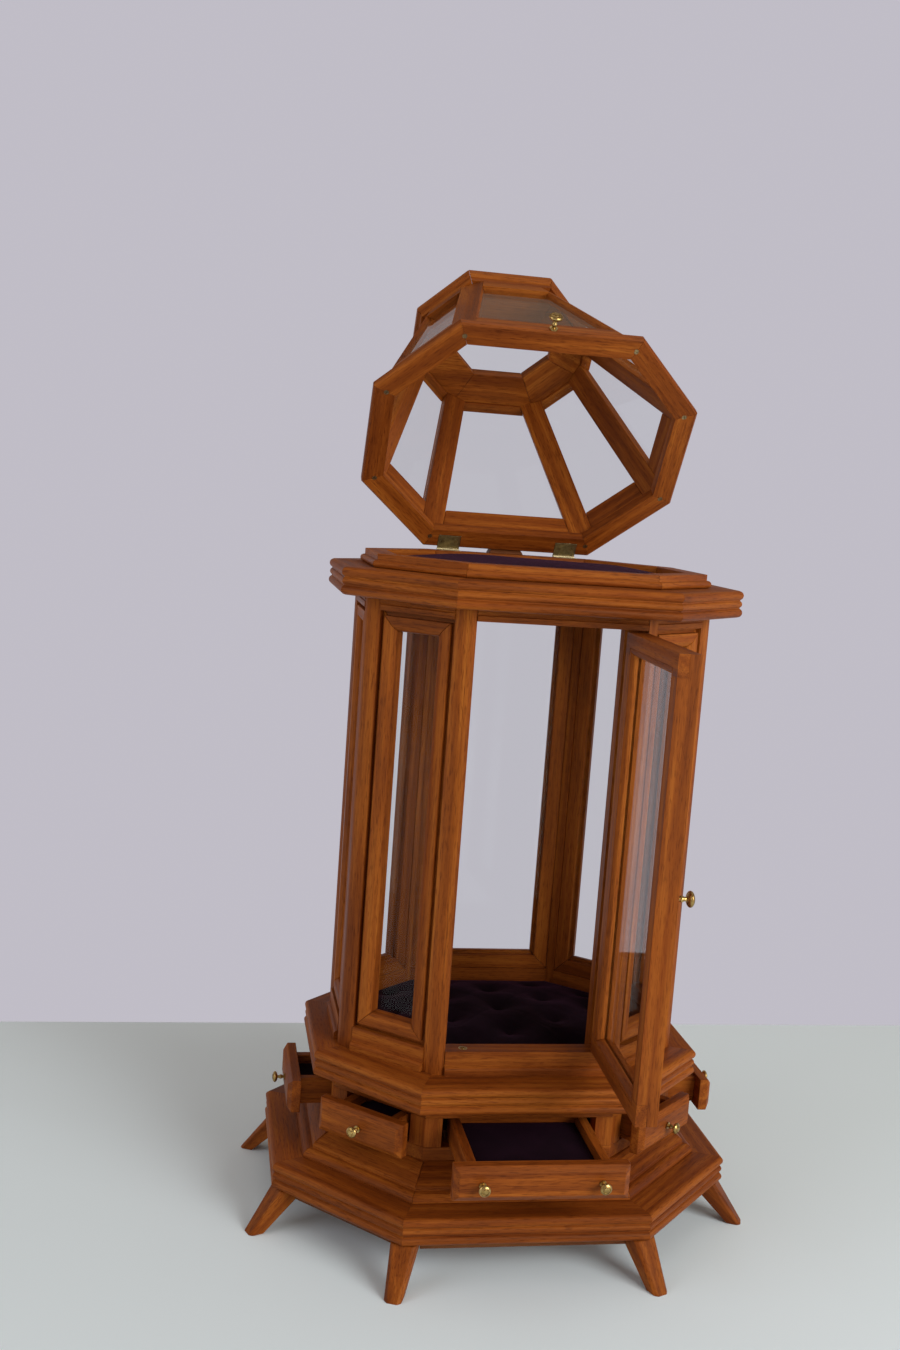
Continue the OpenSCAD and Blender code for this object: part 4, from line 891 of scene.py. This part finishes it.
def plain_surface(name, colour, roughness):
    mat, tree, skin = plain_material(name)
    skin.inputs["Base Color"].default_value = (*colour, 1)
    skin.inputs["Roughness"].default_value = roughness
    skin.inputs["Specular IOR Level"].default_value = 0.2
    return mat


table_mesh = bpy.data.meshes.new("table")
table_back, table_front, table_half = 0.40, -3.2, 3.0
table_mesh.from_pydata([
    (-table_half, table_front, 0), (table_half, table_front, 0), (table_half, table_back, 0),
    (-table_half, table_back, 0)], [], [(0, 1, 2, 3)])
table_mesh.materials.append(plain_surface("table_cloth", (0.8, 0.92, 1.0), 0.9))
table = bpy.data.objects.new("table", table_mesh)
bpy.context.scene.collection.objects.link(table)

world = bpy.data.worlds.new("studio")
bpy.context.scene.world = world
world.use_nodes = True
tree = world.node_tree
tree.nodes.clear()
sky_start, sky_end = 0.08, 0.5
path = shader_node(tree, "ShaderNodeLightPath")
way = shader_node(tree, "ShaderNodeTexCoord")
split = shader_node(tree, "ShaderNodeSeparateXYZ")
link(tree, way.outputs["Generated"], split.inputs[0])
low_sky = shader_node(tree, "ShaderNodeMapRange", interpolation_type="SMOOTHSTEP")
low_sky.inputs["From Min"].default_value = sky_end
low_sky.inputs["From Max"].default_value = sky_start
link(tree, split.outputs["Z"], low_sky.inputs["Value"])


def sky(low, high, strength):
    """A background that goes from one colour at eye level to another higher up."""
    blend = shader_node(tree, "ShaderNodeMix", data_type="RGBA")
    blend.inputs[6].default_value = (*high, 1)
    blend.inputs[7].default_value = (*low, 1)
    link(tree, low_sky.outputs[0], blend.inputs[0])
    shade = shader_node(tree, "ShaderNodeBackground", Strength=strength)
    link(tree, blend.outputs[2], shade.inputs["Color"])
    return shade.outputs[0]


sheet_tone = (0.53, 0.51, 0.57)
backdrop = shader_node(tree, "ShaderNodeBackground", Color=(*sheet_tone, 1), Strength=1)
seen = shader_node(tree, "ShaderNodeMath", operation="MAXIMUM")
link(tree, path.outputs["Is Camera Ray"], seen.inputs[0])
link(tree, path.outputs["Is Transmission Ray"], seen.inputs[1])
around = shader_node(tree, "ShaderNodeMixShader")
link(tree, path.outputs["Is Glossy Ray"], around.inputs["Fac"])
link(tree, sky((1, 0.97, 0.95), (0.42, 0.34, 0.27), 0.66), around.inputs[1])
link(tree, sky(sheet_tone, (0.2, 0.155, 0.12), 1), around.inputs[2])
mix = shader_node(tree, "ShaderNodeMixShader")
out = shader_node(tree, "ShaderNodeOutputWorld")
link(tree, seen.outputs[0], mix.inputs["Fac"])
link(tree, around.outputs[0], mix.inputs[1])
link(tree, backdrop.outputs[0], mix.inputs[2])
link(tree, mix.outputs[0], out.inputs["Surface"])


def soft_light(name, place, target, size, power, colour):
    lamp = bpy.data.lights.new(name, "AREA")
    lamp.shape = "RECTANGLE"
    lamp.size, lamp.size_y = size
    lamp.energy = power
    lamp.color = colour
    thing = bpy.data.objects.new(name, lamp)
    thing.location = place
    thing.rotation_euler = (Vector(target) - Vector(place)).to_track_quat("-Z", "Y").to_euler()
    bpy.context.scene.collection.objects.link(thing)


middle = (0, 0, 0.35)
soft_light("window", (1.5, -2.1, 1.35), middle, (1.6, 1.4), 55, (1, 0.97, 0.92))
soft_light("room", (-2.4, -0.9, 1.5), middle, (1.6, 1.6), 15, (0.95, 0.95, 1))
soft_light("above", (0.2, 0.2, 2.6), middle, (2.0, 2.0), 5, (1, 1, 1))

bpy.context.scene.view_settings.view_transform = "Standard"

camera_data = bpy.data.cameras.new("camera")
camera_data.sensor_width = 36
camera_data.sensor_fit = "AUTO"
camera_data.lens = 37.149
camera = bpy.data.objects.new("camera", camera_data)
right = Vector((0.98313098, -0.16811363, 0.07205056))
down_way = Vector((0.04836548, -0.14095491, -0.98883391))
forward = Vector((0.17639234, 0.97563801, -0.13044624))
camera_at = (-0.29402254751, -1.24142003588, 0.65939459352)
camera.matrix_world = Matrix([
    (right[k], -down_way[k], -forward[k], camera_at[k]) for k in range(3)] + [(0, 0, 0, 1)])
bpy.context.scene.collection.objects.link(camera)
bpy.context.scene.camera = camera
